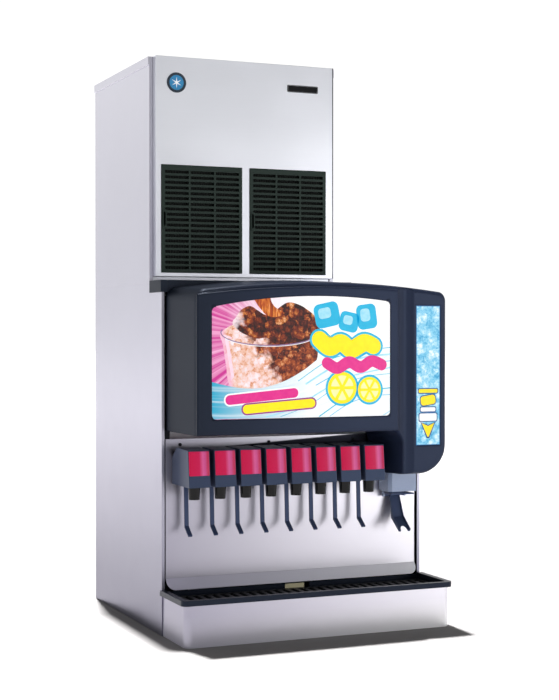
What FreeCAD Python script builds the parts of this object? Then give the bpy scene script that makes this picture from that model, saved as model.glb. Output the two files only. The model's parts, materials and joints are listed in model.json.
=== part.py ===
import FreeCAD, Part
import math
import os

import Sketcher

# Ice and beverage dispenser with an ice maker standing on its left half.
# Millimetres.  +X to the viewer's right, +Y to the rear, +Z up.
# Origin: middle of the footprint, on the counter.

DIMS = {
    # Dispenser cabinet
    "cabinet_half": 381.0, "cabinet_front": -218.0, "cabinet_back": 400.0, "cabinet_top": 929.0,
    "sheet": 1.5, "flange": 8.0, "deck": 3.0, "deck_low": 900.0,
    "deck_step": 165.0, "rear_inset": 24.0, "base_wall": 28.0,
    "post": 20.0, "post_gap": 3.0, "post_top": 890.0,
    # Splash panel
    "splash_half": 368.0, "splash_face": -211.5, "splash_top": 515.0, "splash_crease": 150.0,
    "splash_lip": 120.0, "splash_kick": 20.0, "splash_corner": 22.0, "screw_head": 4.5,
    "screw_level": 499.5, "screw_proud": 2.5, "screw_first": -328.0, "screw_pitch": 252.5,
    "screw_low": 126.0, "screw_high": 400.0, "screw_columns": 3, "cut_start": 5.0,
    "tube_clear": 2.0,
    # Top cap
    "cap_proud": 3.0, "cap_bottom": 900.0, "cap_back": -125.0, "cap_nose": 18.0, "cap_gap": 0.5,
    # Drip tray
    "tray_half": 387.0, "tray_front": -400.0, "tray_back": -219.0, "tray_rim": 121.0,
    "tray_rim_height": 14.0, "tray_rim_width": 13.0, "tray_floor": 48.0, "tray_wall": 3.0,
    "tray_rear_top": 116.0, "tray_corner": 16.0, "tub_corner": 12.0,
    "ledge_top": 99.0, "ledge_width": 9.0,
    "ledge_height": 5.0, "label_left": -33.0, "label_right": 40.0, "label_top": 101.0,
    "rest_height": 6.0, "rest_gap": 1.5, "rest_slot": 13.0, "rest_slots": 29.0,
    "rest_border": 12.0, "skirt_half": 378.0, "skirt_front": -396.0, "skirt_top": 107.0,
    "skirt_corner": 18.0,
    # Valves
    "valve_count": 8, "valve_first": -322.0, "valve_pitch": 71.4, "valve_half": 29.0,
    "cover_wall": 2.0, "cover_back": -213.0, "cover_bottom": 398.0, "cover_shoulder": 467.0,
    "cover_ridge_back": -252.0, "cover_ridge": 495.0, "cover_top_front": -338.0,
    "cover_top": 493.0, "cover_nose": -348.0,
    "body_half": 20.0, "body_front": -325.0, "body_bottom": 418.0, "body_top": 462.0,
    "ear": 5.0, "ear_half": 6.0, "neck_lap": 4.0, "nozzle_y": -305.0, "nozzle_top_r": 16.0,
    "nozzle_tip_r": 14.0,
    "nozzle_tip": 364.0, "nozzle_recess_r": 9.0, "nozzle_recess": 4.0,
    # Valve levers
    "lever_pivot_y": -240.0, "lever_pivot_z": 408.0, "lever_hub_r": 5.0, "lever_pin_r": 2.5,
    "lever_bend_y": -246.0, "lever_bend_z": 287.0, "lever_foot_y": -276.0,
    "lever_foot_z": 266.0, "lever_half": 5.5, "lever_thick": 4.0, "pin_clear": 0.05,
    "lever_play": 0.5,
    # Ice dispensing
    "chute_left": 254.0, "chute_right": 337.0, "chute_front": -280.0, "chute_bottom": 357.0,
    "chute_top": 672.0, "chute_wall": 3.0, "chute_throat": 540.0, "chute_bevel": 9.0,
    "gate_top": 650.0, "gate_bottom": 550.0, "gate_pivot": 656.0, "gate_thick": 3.5,
    "gate_face": -222.0, "gate_pin_r": 2.5, "gate_side_gap": 1.5,
    "gate_pin_inset": 0.5,
    "ice_pivot_y": -224.0, "ice_pivot_z": 345.0, "ice_hub_r": 5.0, "ice_hub_half": 30.0,
    "ice_centre": 296.5, "ice_bend_y": -245.0, "ice_bend_z": 282.0, "ice_tip_y": -290.0,
    "ice_tip_z": 250.0, "ice_thick": 4.0, "ice_top_half": 13.0, "ice_foot_half": 17.5,
    "ice_plate_half": 35.0, "ice_plate_front": -277.0, "ice_plate_z": 348.0, "ice_notch_half": 11.0,
    "ice_notch_depth": 13.0, "ice_ear": 4.0, "ice_ear_gap": 0.5, "ice_ear_depth": 12.0,
    "ice_ear_drop": 6.0, "ice_outlet_half": 27.0, "ice_outlet_rim": 6.0,
    "ice_plate_gap": 2.0,
    # Bin
    "bin_left": -350.0, "bin_right": 365.0, "bin_front": -150.0, "bin_back": 340.0,
    "bin_bottom": 200.0, "bin_top": 892.0, "bin_wall": 38.0, "bin_floor": 272.0,
    "plate_height": 40.0, "plate_inset": 20.0, "header_front": -140.0, "header_height": 24.0,
    "header_right": 200.0, "header_left": -340.0, "throat_left": 260.0, "throat_right": 322.0,
    "throat_bottom": 558.0, "throat_top": 640.0, "boss_wall": 8.0, "tube_r": 5.0,
    "tube_y": -185.0, "tube_low": 250.0, "tube_high": 445.0, "bin_leg": 40.0,
    # Agitator
    "agitator_x": 90.0, "agitator_z": 590.0, "shaft_r": 8.0, "hub_r": 30.0, "hub_length": 30.0,
    "arm_reach": 190.0, "arm_size": 12.0, "spider_front": -92.0, "spider_back": 130.0,
    "shaft_front": -200.0, "shaft_back": 200.0, "gearbox_half": 45.0, "gearbox_front": -206.0,
    "gearbox_back": -152.0, "motor_r": 40.0, "motor_front": -300.0,
    # Merchandiser shell
    "shell_back": -218.0, "shell_edge": -350.0, "shell_turn": -358.0, "shell_step": -361.0,
    "shell_face": -366.0, "face_edge": -364.0, "shell_wall": 4.0, "hollow_front": -352.0,
    "edge_turn": 3.0, "edge_inset": 9.0, "face_inset": 2.5, "hollow_inset": 5.0,
    "back_left": -369.0, "back_right": 386.0, "back_low": 537.0, "back_left_top": 893.0,
    "back_right_top": 911.0, "back_crown": -339.0, "back_column": 218.0,
    "step_left": -337.0, "step_right": 387.0, "step_low": 531.0, "step_left_top": 884.0,
    "step_right_top": 905.0, "step_crown": -314.0, "step_column": 256.0,
    "column_low": 412.0, "heel_r": 78.0, "temple_r": 22.0, "cove_r": 40.0, "shoulder_r": 34.0,
    "crown_rise": 22.0, "face_rise": 14.0, "face_left": -336.0, "face_right": 242.0,
    "face_low": 531.0, "face_left_top": 892.0, "face_right_top": 908.0,
    "root_right": 250.0, "root_left_top": 890.0, "root_right_top": 909.0,
    "groove_x": 264.0, "groove_r": 40.0, "groove_depth": 6.5,
    "sign_left": -296.0, "sign_right": 212.0, "sign_bottom": 572.0, "sign_top": 859.0,
    "sign_rise": 21.0, "sign_slope": 18.0, "sign_thick": 3.0, "sign_gap": 0.3,
    "ice_sign_left": 293.0, "ice_sign_right": 367.0, "ice_sign_bottom": 489.0,
    "ice_sign_top": 867.0, "ice_sign_recess": 0.5,
    "shell_height": 540.0, "outlet_height": 20.0, "lamp_margin": 25.0, "lamp_r": 12.0, "lamp_y": -328.0,
    "lamp_low": 660.0, "lamp_pitch": 110.0,
    # Fill lid
    "lid_left": 182.0, "lid_right": 358.0, "lid_front": -70.0, "lid_hinge_y": 262.0,
    "lid_thick": 8.0, "lid_seat": 0.5, "lid_lap": 10.0, "lid_hinge_r": 6.0, "lid_pin_r": 3.0,
    "lid_ear": 6.0, "lid_pull_half": 30.0, "lid_pull": 8.0,
    # Service fittings
    "drain_r": 16.0, "drain_bore_r": 12.5, "drain_x": 250.0, "drain_z": 110.0,
    "inlet_r": 8.0, "inlet_x": 140.0, "inlet_pitch": 50.0, "inlet_count": 3,
    "gland_r": 11.0, "gland_x": -300.0, "fitting_flange": 6.0, "fitting_flange_t": 3.0,
    "fitting_inside": 30.0,
    # Ice maker
    "maker_left": -381.0, "maker_right": 159.0, "maker_front": -117.0, "maker_top": 1530.0,
    "maker_flange": 10.0, "maker_skirt": 22.0, "maker_lap": 3.0, "maker_base_top": 944.0,
    "panel_face": -142.0, "panel_inset": 10.0, "panel_back": -117.5,
    "grille_left_x": -356.0, "grille_right_x": -103.0, "grille_left_w": 231.0,
    "grille_right_w": 228.0, "grille_bottom": 954.0, "grille_top": 1242.0, "grille_gap": 0.6,
    "grille_frame": 9.0, "grille_thick": 9.0, "grille_proud": 3.0, "louvre_pitch": 14.2,
    "louvre_slot": 7.5, "louvres": 19, "rib": 5.0, "grille_columns": 3,
    # Refrigeration
    "coil_left": -350.0, "coil_right": -130.0, "coil_front": -100.0, "coil_back": -60.0,
    "coil_bottom": 956.0, "coil_top": 1240.0, "coil_tubes": 4, "coil_end": 8.0,
    "fan_x": -240.0, "fan_z": 1098.0,
    "fan_r": 98.0, "fan_hub_r": 24.0, "fan_front": -50.0, "fan_depth": 20.0, "fan_shaft_r": 4.0,
    "blade_pitch": 28.0, "blade_thick": 2.0, "blade_chord": 44.0,
    "fan_motor_r": 38.0, "fan_motor_length": 62.0, "fan_foot": 30.0,
    "fan_foot_start": 10.0, "fan_gap": 6.0, "blade_root": 4.0,
    "compressor_x": -240.0, "compressor_y": 190.0, "compressor_r": 78.0,
    "compressor_bottom": 956.0, "compressor_height": 200.0, "compressor_foot_r": 10.0,
    "compressor_foot_reach": 54.0, "compressor_foot_lap": 4.0,
    # Freezing cylinder
    "barrel_x": 80.0, "barrel_y": 60.0, "barrel_r": 52.0, "barrel_bore": 38.0,
    "barrel_bottom": 1058.0, "barrel_top": 1400.0, "auger_core": 20.0, "auger_r": 37.4,
    "auger_pitch": 60.0, "flight": 6.0, "gear_half": 62.0, "gear_top": 1058.0,
    "auger_motor_r": 45.0, "auger_motor_x": -40.0, "auger_motor_y": 150.0,
    "auger_motor_top": 1180.0, "auger_gap": 6.0, "bridge_depth": 40.0,
    "bridge_drop": 30.0, "socket_depth": 40.0,
    "spout_left": -60.0, "spout_right": 12.0, "spout_depth": 36.0,
    "spout_wall": 3.0, "spout_bottom": 890.0, "spout_head": 50.0, "drop_gap": 4.0,
}


# A rounded corner's radius, over its own width, so that its arc always closes.
ARC_SLACK = 1.01


class Dim:
    """A length with its number and the spreadsheet expression that gives it."""

    def __init__(self, value, text=None):
        self.value = float(value)
        self.text = text or repr(float(value))

    def _with(self, other, sign, value):
        return Dim(value, "(%s %s %s)" % (self.text, sign, other.text))

    def __add__(self, other):
        other = as_dim(other)
        return self._with(other, "+", self.value + other.value)

    def __sub__(self, other):
        other = as_dim(other)
        return self._with(other, "-", self.value - other.value)

    def __mul__(self, other):
        other = as_dim(other)
        return self._with(other, "*", self.value * other.value)

    def __truediv__(self, other):
        other = as_dim(other)
        return self._with(other, "/", self.value / other.value)

    def __radd__(self, other):
        return as_dim(other) + self

    def __rsub__(self, other):
        return as_dim(other) - self

    def __rmul__(self, other):
        return as_dim(other) * self

    def __neg__(self):
        return Dim(-self.value, "(0 - %s)" % self.text)


def as_dim(number):
    return number if isinstance(number, Dim) else Dim(number)


class Sizes:
    """The spreadsheet's aliases as attributes."""

    def __init__(self, table):
        for name, value in table.items():
            setattr(self, name, Dim(value, "Dims." + name))


doc = FreeCAD.newDocument("drink_dispenser")
sheet = doc.addObject("Spreadsheet::Sheet", "Dims")
for row, (name, value) in enumerate(DIMS.items(), start=1):
    sheet.set("A%d" % row, name)
    sheet.set("B%d" % row, repr(value))
    sheet.setAlias("B%d" % row, name)
doc.recompute()
d = Sizes(DIMS)
nodes = []

TURN = {
    "X": FreeCAD.Rotation(FreeCAD.Vector(0, 1, 0), 90),
    "Y": FreeCAD.Rotation(FreeCAD.Vector(1, 0, 0), -90),
    "Z": FreeCAD.Rotation(),
}


# ---------------------------------------------------------------- helpers

def bind(thing, **values):
    for name, value in values.items():
        thing.setExpression(name, as_dim(value).text)


def place(thing, x, y, z):
    bind(thing, **{"Placement.Base.x": x, "Placement.Base.y": y, "Placement.Base.z": z})
    return thing


def box(x0, x1, y0, y1, z0, z1):
    """A box between two corners, low to high."""
    solid = doc.addObject("Part::Box", "Block")
    bind(solid, Length=as_dim(x1) - x0, Width=as_dim(y1) - y0, Height=as_dim(z1) - z0)
    return place(solid, x0, y0, z0)


def rod(axis, radius, x, y, z, length):
    """A round bar that starts at the given point and runs along +axis."""
    solid = doc.addObject("Part::Cylinder", "Round")
    solid.Placement = FreeCAD.Placement(FreeCAD.Vector(), TURN[axis])
    bind(solid, Radius=radius, Height=length)
    return place(solid, x, y, z)


def fuse(parts):
    solid = doc.addObject("Part::MultiFuse", "Joined")
    solid.Shapes = parts
    return solid


def cut(base, tools):
    solid = doc.addObject("Part::Cut", "Cut")
    solid.Base = base
    solid.Tool = tools[0] if len(tools) == 1 else fuse(tools)
    return solid


def group(solids):
    """Several separate solids that share one node."""
    together = doc.addObject("Part::Compound", "Group")
    together.Links = solids
    return together


def keep(label, solid):
    solid.Label = label
    nodes.append(solid)
    return solid


def new_body():
    return doc.addObject("PartDesign::Body", "Body")


def origin_plane(body, role):
    return next(item for item in body.Origin.OriginFeatures if item.Role == role)


def sketch(body, role, points, offset=0.0, arcs=None):
    """A closed outline on one of the body's own planes.  arcs maps a side's index to its radius:
    positive bulges to the right of the way the outline runs."""
    arcs = arcs or {}
    outline = body.newObject("Sketcher::SketchObject", "Outline")
    outline.AttachmentSupport = [(origin_plane(body, role), "")]
    outline.MapMode = "FlatFace"
    bind(outline, **{"AttachmentOffset.Base.z": offset})
    points = [(as_dim(u), as_dim(v)) for u, v in points]
    count = len(points)
    for index in range(count):
        start = FreeCAD.Vector(points[index][0].value, points[index][1].value, 0)
        end_u, end_v = points[(index + 1) % count]
        end = FreeCAD.Vector(end_u.value, end_v.value, 0)
        if index in arcs:
            outline.addGeometry(arc_between(start, end, as_dim(arcs[index]).value), False)
        else:
            outline.addGeometry(Part.LineSegment(start, end), False)
    ends = [side_ends(index, arcs) for index in range(count)]
    for index in range(count):
        following = (index + 1) % count
        outline.addConstraint(Sketcher.Constraint("Coincident", index, ends[index][1],
                                                  following, ends[following][0]))
    for index, (u, v) in enumerate(points):
        for kind, length in (("DistanceX", u), ("DistanceY", v)):
            key = outline.addConstraint(
                Sketcher.Constraint(kind, -1, 1, index, ends[index][0], length.value))
            outline.setExpression("Constraints[%d]" % key, length.text)
    for index, radius in arcs.items():
        radius = as_dim(radius)
        key = outline.addConstraint(Sketcher.Constraint("Radius", index, abs(radius.value)))
        outline.setExpression("Constraints[%d]" % key, "abs(%s)" % radius.text)
    return outline


def side_ends(index, arcs):
    """Which point numbers are a side's start and end: an arc runs anticlockwise."""
    if index in arcs and as_dim(arcs[index]).value < 0:
        return 2, 1
    return 1, 2


def arc_between(start, end, radius):
    """The short arc from start to end."""
    middle = (start + end) * 0.5
    along = end - start
    right = FreeCAD.Vector(along.y, -along.x, 0).normalize()
    if radius < 0:
        right = right * -1
    reach = math.sqrt(max(radius * radius - (along.Length / 2) ** 2, 0.0))
    crown = middle + right * (abs(radius) - reach)
    return Part.Arc(start, crown, end)


def pad(body, outline, length, reverse=False):
    feature = body.newObject("PartDesign::Pad", "Pad")
    feature.Profile = outline
    feature.Reversed = reverse
    bind(feature, Length=length)
    return feature


def pocket(body, outline, length, reverse=False):
    feature = body.newObject("PartDesign::Pocket", "Pocket")
    feature.Profile = outline
    feature.Reversed = reverse
    bind(feature, Length=length)
    return feature


def rectangle(u0, u1, v0, v1):
    return [(u0, v0), (u1, v0), (u1, v1), (u0, v1)]


def round_edges(body, radius, wanted):
    """Fillets the edges of the body's tip whose middle and direction pass the test."""
    doc.recompute()
    base = body.Tip
    names = []
    for index, edge in enumerate(base.Shape.Edges, start=1):
        middle = edge.valueAt((edge.FirstParameter + edge.LastParameter) / 2)
        run = edge.Vertexes[-1].Point - edge.Vertexes[0].Point
        if wanted(middle, run, edge.Length):
            names.append("Edge%d" % index)
    feature = body.newObject("PartDesign::Fillet", "Fillet")
    feature.Base = (base, names)
    bind(feature, Radius=radius)
    return feature


def extruded(role, points, start, length, reverse=False, arcs=None):
    """A body with one padded outline."""
    body = new_body()
    pad(body, sketch(body, role, points, start, arcs), length, reverse)
    return body


def open_box(x0, x1, y0, y1, z0, z1, wall):
    """A tray: a block with its inside taken out from above."""
    outside = box(x0, x1, y0, y1, z0, z1)
    inside = box(x0 + wall, x1 - wall, y0 + wall, y1 - wall, z0 + wall, z1 + 1)
    return cut(outside, [inside])


# ---------------------------------------------------------------- cabinet

def folded_side(outer, sign, front, back, bottom, top, flange):
    """A side panel: a sheet with a flange turned in along its front and back edges."""
    inner = outer - sign * d.sheet
    tip = outer - sign * flange
    rear_tip = outer - sign * d.flange
    points = [(outer, front), (tip, front), (tip, front + d.sheet), (inner, front + d.sheet),
              (inner, back - d.sheet), (rear_tip, back - d.sheet), (rear_tip, back),
              (outer, back)]
    return extruded("XY_Plane", points, bottom, top - bottom)


def make_cabinet():
    inner = d.cabinet_half - d.sheet
    rear = d.cabinet_back - d.rear_inset
    for label, sign, deck_top in (("side_panel_left", -1, d.cabinet_top),
                                  ("side_panel_right", 1, d.deck_low)):
        keep(label, folded_side(sign * d.cabinet_half, sign, d.cabinet_front, d.cabinet_back,
                                0.0, deck_top - d.deck, d.flange))
    keep("base_pan", open_box(-inner, inner, d.cabinet_front + d.sheet, rear, 0.0,
                              d.base_wall, d.sheet))
    post_out = d.cabinet_half - d.flange + d.post_gap
    post_in = post_out - d.post
    post_front = d.splash_face + d.sheet
    posts = []
    for sign in (-1, 1):
        edges = sorted((sign * post_in, sign * post_out), key=lambda edge: edge.value)
        posts.append(box(edges[0], edges[1], post_front, post_front + d.post, d.base_wall,
                         d.post_top))
    for x in (d.bin_left + d.bin_leg, d.bin_right - 2 * d.bin_leg):
        for y in (d.bin_front + d.bin_leg, d.bin_back - 2 * d.bin_leg):
            posts.append(box(x, x + d.bin_leg, y, y + d.bin_leg, d.sheet, d.bin_bottom))
    keep("frame_posts", group(posts))


def drop_edges(grow):
    """The ice drop's sides, in plan, grown all round."""
    return (d.spout_left - grow, d.spout_right + grow, d.barrel_y - d.spout_depth - grow,
            d.barrel_y + d.spout_depth + grow)


def make_top_deck():
    """A deck in two levels: the ice maker stands on the left one, the right one has a hatch."""
    back = d.cabinet_back
    left = box(-d.cabinet_half, d.deck_step, d.cabinet_front + d.cap_proud, back,
               d.cabinet_top - d.deck, d.cabinet_top)
    low = d.deck_low - d.deck
    riser = box(d.deck_step - d.sheet, d.deck_step, d.cabinet_front + d.cap_proud, back, low,
                d.cabinet_top)
    right = box(d.deck_step - d.sheet, d.cabinet_half, d.cabinet_front, back, low, d.deck_low)
    drop = box(*drop_edges(d.drop_gap), d.cabinet_top - d.deck - 1, d.cabinet_top + 1)
    fill = box(d.lid_left + d.lid_lap, d.lid_right - d.lid_lap, d.lid_front + d.lid_lap,
               d.lid_hinge_y - 2 * d.lid_lap, low - 1, d.deck_low + 1)
    ears = []
    for start in (d.lid_left + d.lid_lap, d.lid_right - d.lid_lap - d.lid_ear):
        ears.append(box(start, start + d.lid_ear, d.lid_hinge_y - d.lid_hinge_r,
                        d.lid_hinge_y + d.lid_hinge_r, d.deck_low - 1, lid_pivot_level()))
        ears.append(rod("X", d.lid_hinge_r, start, d.lid_hinge_y, lid_pivot_level(),
                        d.lid_ear))
    solid = fuse([left, riser, right] + ears)
    bore = rod("X", d.lid_pin_r + d.pin_clear, d.lid_left, d.lid_hinge_y, lid_pivot_level(),
               d.lid_right - d.lid_left)
    keep("top_deck", cut(solid, [drop, fill, bore]))


def lid_pivot_level():
    return d.deck_low + d.lid_seat + d.lid_hinge_r


def make_fill_lid():
    level = d.deck_low + d.lid_seat
    plate = box(d.lid_left, d.lid_right, d.lid_front, d.lid_hinge_y - d.lid_hinge_r - 1,
                level, level + d.lid_thick)
    left = d.lid_left + d.lid_lap
    right = d.lid_right - d.lid_lap
    inside_left = left + d.lid_ear + d.lid_seat
    inside_right = right - d.lid_ear - d.lid_seat
    barrel = rod("X", d.lid_hinge_r, inside_left, d.lid_hinge_y, lid_pivot_level(),
                 inside_right - inside_left)
    tongue = box(inside_left, inside_right, d.lid_hinge_y - d.lid_hinge_r - 2, d.lid_hinge_y,
                 level, level + d.lid_thick)
    pin = rod("X", d.lid_pin_r, left, d.lid_hinge_y, lid_pivot_level(), right - left)
    middle = (d.lid_left + d.lid_right) / 2
    pull = box(middle - d.lid_pull_half, middle + d.lid_pull_half, d.lid_front - d.lid_pull,
               d.lid_front + d.lid_pull, level + d.lid_thick / 2, level + d.lid_thick + d.lid_seat)
    keep("fill_lid", fuse([plate, tongue, barrel, pin, pull]))


def make_splash():
    """A sheet with a row of tube holes and a bottom lip kicked forward over the tray."""
    back = d.splash_face + d.sheet
    lip = d.splash_face - d.splash_kick
    points = [(back, d.splash_top), (back, d.splash_crease), (lip + d.sheet, d.splash_lip),
              (lip, d.splash_lip), (d.splash_face, d.splash_crease),
              (d.splash_face, d.splash_top)]
    body = new_body()
    pad(body, sketch(body, "YZ_Plane", points, -d.splash_half), 2 * d.splash_half)
    reach = d.splash_corner
    for sign in (-1, 1):
        end = sign * d.splash_half
        corner = [(end + sign, d.splash_lip + reach), (end, d.splash_lip + reach),
                  (end - sign * reach, d.splash_lip), (end - sign * reach, d.splash_lip - 1),
                  (end + sign, d.splash_lip - 1)]
        shape = sketch(body, "XZ_Plane", corner, d.cut_start - lip, {1: -sign * reach})
        pocket(body, shape, d.splash_kick + 2 * d.cut_start)
    hole_half = d.tube_r + d.tube_clear
    hole = sketch(body, "XZ_Plane",
                  rectangle(d.valve_first - hole_half, d.valve_first + hole_half,
                            d.tube_high - hole_half, d.tube_high + hole_half),
                  d.cut_start - d.splash_face)
    first = pocket(body, hole, d.sheet + 2 * d.cut_start)
    repeat_along_x(body, first, d.valve_pitch * (d.valve_count - 1), d.valve_count)
    keep("splash_panel", body)


def repeat_along_x(body, feature, length, count):
    pattern = body.newObject("PartDesign::LinearPattern", "Row")
    pattern.Originals = [feature]
    pattern.Direction = (origin_plane(body, "X_Axis"), [""])
    bind(pattern, Length=length)
    pattern.Occurrences = int(as_dim(count).value)
    body.Tip = pattern
    return pattern


def make_screws():
    heads = []
    start = d.splash_face - d.screw_proud
    for step in range(DIMS["screw_columns"]):
        x = d.screw_first + step * d.screw_pitch
        heads.append(rod("Y", d.screw_head, x, start, d.screw_level, d.screw_proud))
    gap = (d.splash_half + d.cabinet_half - d.flange) / 2
    post_face = d.splash_face + d.sheet
    for sign in (-1, 1):
        for level in (d.screw_low, d.screw_high):
            heads.append(rod("Y", d.screw_head / 2, sign * gap, post_face - d.screw_proud / 2,
                             level, d.screw_proud / 2))
    keep("panel_screws", group(heads))


def make_top_cap():
    """A moulded band under the ice maker, turned down over the cabinet's side and front."""
    left = -d.cabinet_half - d.cap_proud
    right = d.deck_step + d.cap_proud
    front = d.cabinet_front
    nose = front - d.cap_proud
    top = d.cabinet_top + d.cap_proud
    sheet_part = box(left, right, front, d.cap_back, d.cabinet_top, top)
    side = box(left, -d.cabinet_half, nose, d.cap_back, d.cap_bottom, top)
    corner = box(left, left + d.cap_nose, nose, front, d.cap_bottom, top)
    strip = box(d.flange + d.cap_gap - d.cabinet_half, d.deck_step - d.sheet - d.cap_gap, front,
                front + d.cap_proud, d.cap_bottom, top)
    end = box(d.deck_step, right, front, d.cap_back, d.deck_low + d.cap_proud, top)
    keep("top_cap", fuse([sheet_part, side, corner, strip, end]))


def make_fittings():
    """Drain, water and power connections on the rear panel, and the panel itself."""
    face = d.cabinet_back - d.rear_inset
    inner = d.cabinet_half - d.sheet
    panel = box(-inner, inner, face, face + d.sheet, 0.0, d.cabinet_top - d.deck)
    low_deck = box(d.deck_step - d.sheet, inner + 1, face - 1, face + d.sheet + 1,
                   d.deck_low - d.deck, d.cabinet_top)
    out = face + d.sheet
    holes = []
    fittings = []
    places = [(d.drain_x, d.drain_r), (d.gland_x, d.gland_r)]
    for step in range(DIMS["inlet_count"]):
        places.append((d.inlet_x - step * d.inlet_pitch, d.inlet_r))
    for x, radius in places:
        stub = rod("Y", radius, x, face - d.fitting_inside, d.drain_z,
                   d.rear_inset + d.fitting_inside - d.sheet)
        washer = rod("Y", radius + d.fitting_flange, x, out, d.drain_z, d.fitting_flange_t)
        inside = radius - (d.drain_r - d.drain_bore_r)
        bore = rod("Y", inside, x, face - d.fitting_inside - 1, d.drain_z,
                   d.rear_inset + d.fitting_inside + 2)
        fittings.append(cut(fuse([stub, washer]), [bore]))
        holes.append(rod("Y", radius, x, face - 1, d.drain_z, d.sheet + 2))
    keep("rear_panel", cut(panel, holes + [low_deck]))
    keep("service_fittings", group(fittings))


# ---------------------------------------------------------------- drip tray

def front_rounded(half, front, back, corner):
    """A plan outline with its two front corners rounded, and its arcs."""
    points = [(-half, back), (-half, front + corner), (corner - half, front),
              (half - corner, front), (half, front + corner), (half, back)]
    return points, {1: corner, 3: corner}


def make_tray():
    half = d.tray_half
    wall_half = half - d.tray_rim_width
    tub_front = d.tray_front + d.tray_rim_width - d.tray_wall
    body = new_body()
    points, arcs = front_rounded(half, d.tray_front, d.tray_back, d.tray_corner)
    pad(body, sketch(body, "XY_Plane", points, d.tray_rim - d.tray_rim_height, arcs),
        d.tray_rim_height)
    points, arcs = front_rounded(wall_half, tub_front, d.tray_back, d.tub_corner)
    pad(body, sketch(body, "XY_Plane", points, d.tray_floor, arcs), d.tray_rim - d.tray_floor)
    points, arcs = front_rounded(wall_half - d.tray_wall, tub_front + d.tray_wall,
                                 d.tray_back - d.tray_wall, d.tub_corner - d.tray_wall)
    pocket(body, sketch(body, "XY_Plane", points, d.tray_rim, arcs), d.tray_rim - d.tray_floor
           - d.tray_wall)
    rear = rectangle(-half, half, d.tray_back - d.tray_wall, d.tray_back)
    pocket(body, sketch(body, "XY_Plane", rear, d.tray_rim + 1),
           d.tray_rim + 1 - d.tray_rear_top)
    notch = rectangle(d.label_left, d.label_right, d.label_top, d.tray_rear_top + 1)
    pocket(body, sketch(body, "XZ_Plane", notch, -d.tray_back), d.tray_wall, True)
    for sign in (-1, 1):
        wall = sign * (wall_half - d.tray_wall)
        edges = sorted((wall, wall - sign * d.ledge_width), key=lambda edge: edge.value)
        ledge = rectangle(edges[0], edges[1], tub_front + d.tub_corner,
                          d.tray_back - d.tray_wall)
        pad(body, sketch(body, "XY_Plane", ledge, d.ledge_top - d.ledge_height),
            d.ledge_height)
    keep("drip_tray", body)


def make_cup_rest():
    """A slotted grid that lifts out past the splash panel's lip."""
    half = d.tray_half - d.tray_rim_width - d.tray_wall - d.rest_gap
    front = d.tray_front + d.tray_rim_width + d.rest_gap
    back = d.splash_face - d.splash_kick - d.rest_gap
    body = new_body()
    points, arcs = front_rounded(half, front, back, d.tub_corner - d.tray_wall)
    pad(body, sketch(body, "XY_Plane", points, d.ledge_top, arcs), d.rest_height)
    middle = (front + back) / 2
    pitch = (2 * half - 2 * d.rest_border - d.rest_slot) / (d.rest_slots - 1)
    left = d.rest_border - half
    top = d.ledge_top + d.rest_height
    for low, high in ((front + d.rest_border, middle - d.rest_border / 2),
                      (middle + d.rest_border / 2, back - d.rest_border)):
        slot = sketch(body, "XY_Plane", rectangle(left, left + d.rest_slot, low, high), top)
        row = pocket(body, slot, d.rest_height)
        repeat_along_x(body, row, pitch * (d.rest_slots - 1), d.rest_slots)
    keep("cup_rest", body)


def make_skirt():
    half = d.skirt_half
    body = new_body()
    points, arcs = front_rounded(half, d.skirt_front, d.tray_back, d.skirt_corner)
    pad(body, sketch(body, "XY_Plane", points, 0.0, arcs), d.skirt_top)
    points, arcs = front_rounded(half - d.sheet, d.skirt_front + d.sheet, d.tray_back + 1,
                                 d.skirt_corner - d.sheet)
    pocket(body, sketch(body, "XY_Plane", points, d.skirt_top, arcs), d.skirt_top)
    keep("tray_skirt", body)


# ---------------------------------------------------------------- valves

def valve_x(index):
    return d.valve_first + index * d.valve_pitch


def cover_outline(wall, drop):
    """The cover's side outline, moved in by the wall and let down past its open bottom."""
    return [(d.cover_back - wall, d.cover_bottom - drop),
            (d.cover_nose + wall, d.cover_bottom - drop),
            (d.cover_top_front + wall, d.cover_top - wall),
            (d.cover_ridge_back - wall / 2, d.cover_ridge - wall),
            (d.cover_back - wall, d.cover_shoulder - wall / 2)]


def make_cover(index):
    left = valve_x(index) - d.valve_half
    body = new_body()
    pad(body, sketch(body, "YZ_Plane", cover_outline(as_dim(0.0), as_dim(0.0)), left),
        2 * d.valve_half)
    inside = cover_outline(d.cover_wall, as_dim(1.0))
    pocket(body, sketch(body, "YZ_Plane", inside, left + d.cover_wall),
           2 * (d.valve_half - d.cover_wall), True)
    window = rectangle(d.cover_back - d.cover_wall - 1, d.cover_back + 1,
                       d.cover_bottom - 1, d.cover_shoulder - d.cover_wall)
    pocket(body, sketch(body, "YZ_Plane", window, left + d.cover_wall),
           2 * (d.valve_half - d.cover_wall), True)
    keep("valve_cover_%d" % (index + 1), body)


def make_lever(index):
    """A bent strap with a hub and a pin at its top end."""
    x = valve_x(index)
    thick = d.lever_thick
    half = d.lever_half
    points = [(d.lever_pivot_y - thick / 2, d.lever_pivot_z),
              (d.lever_bend_y - thick / 2, d.lever_bend_z + thick / 2),
              (d.lever_foot_y, d.lever_foot_z + thick / 2),
              (d.lever_foot_y + thick / 2, d.lever_foot_z - thick / 2),
              (d.lever_bend_y + thick / 2, d.lever_bend_z - thick / 2),
              (d.lever_pivot_y + thick / 2, d.lever_pivot_z)]
    strap = extruded("YZ_Plane", points, x - half, 2 * half)
    hub = rod("X", d.lever_hub_r, x - half, d.lever_pivot_y, d.lever_pivot_z, 2 * half)
    reach = half + d.ear + d.lever_play
    pin = rod("X", d.lever_pin_r, x - reach, d.lever_pivot_y, d.lever_pivot_z, 2 * reach)
    keep("valve_lever_%d" % (index + 1), fuse([strap, hub, pin]))


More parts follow.
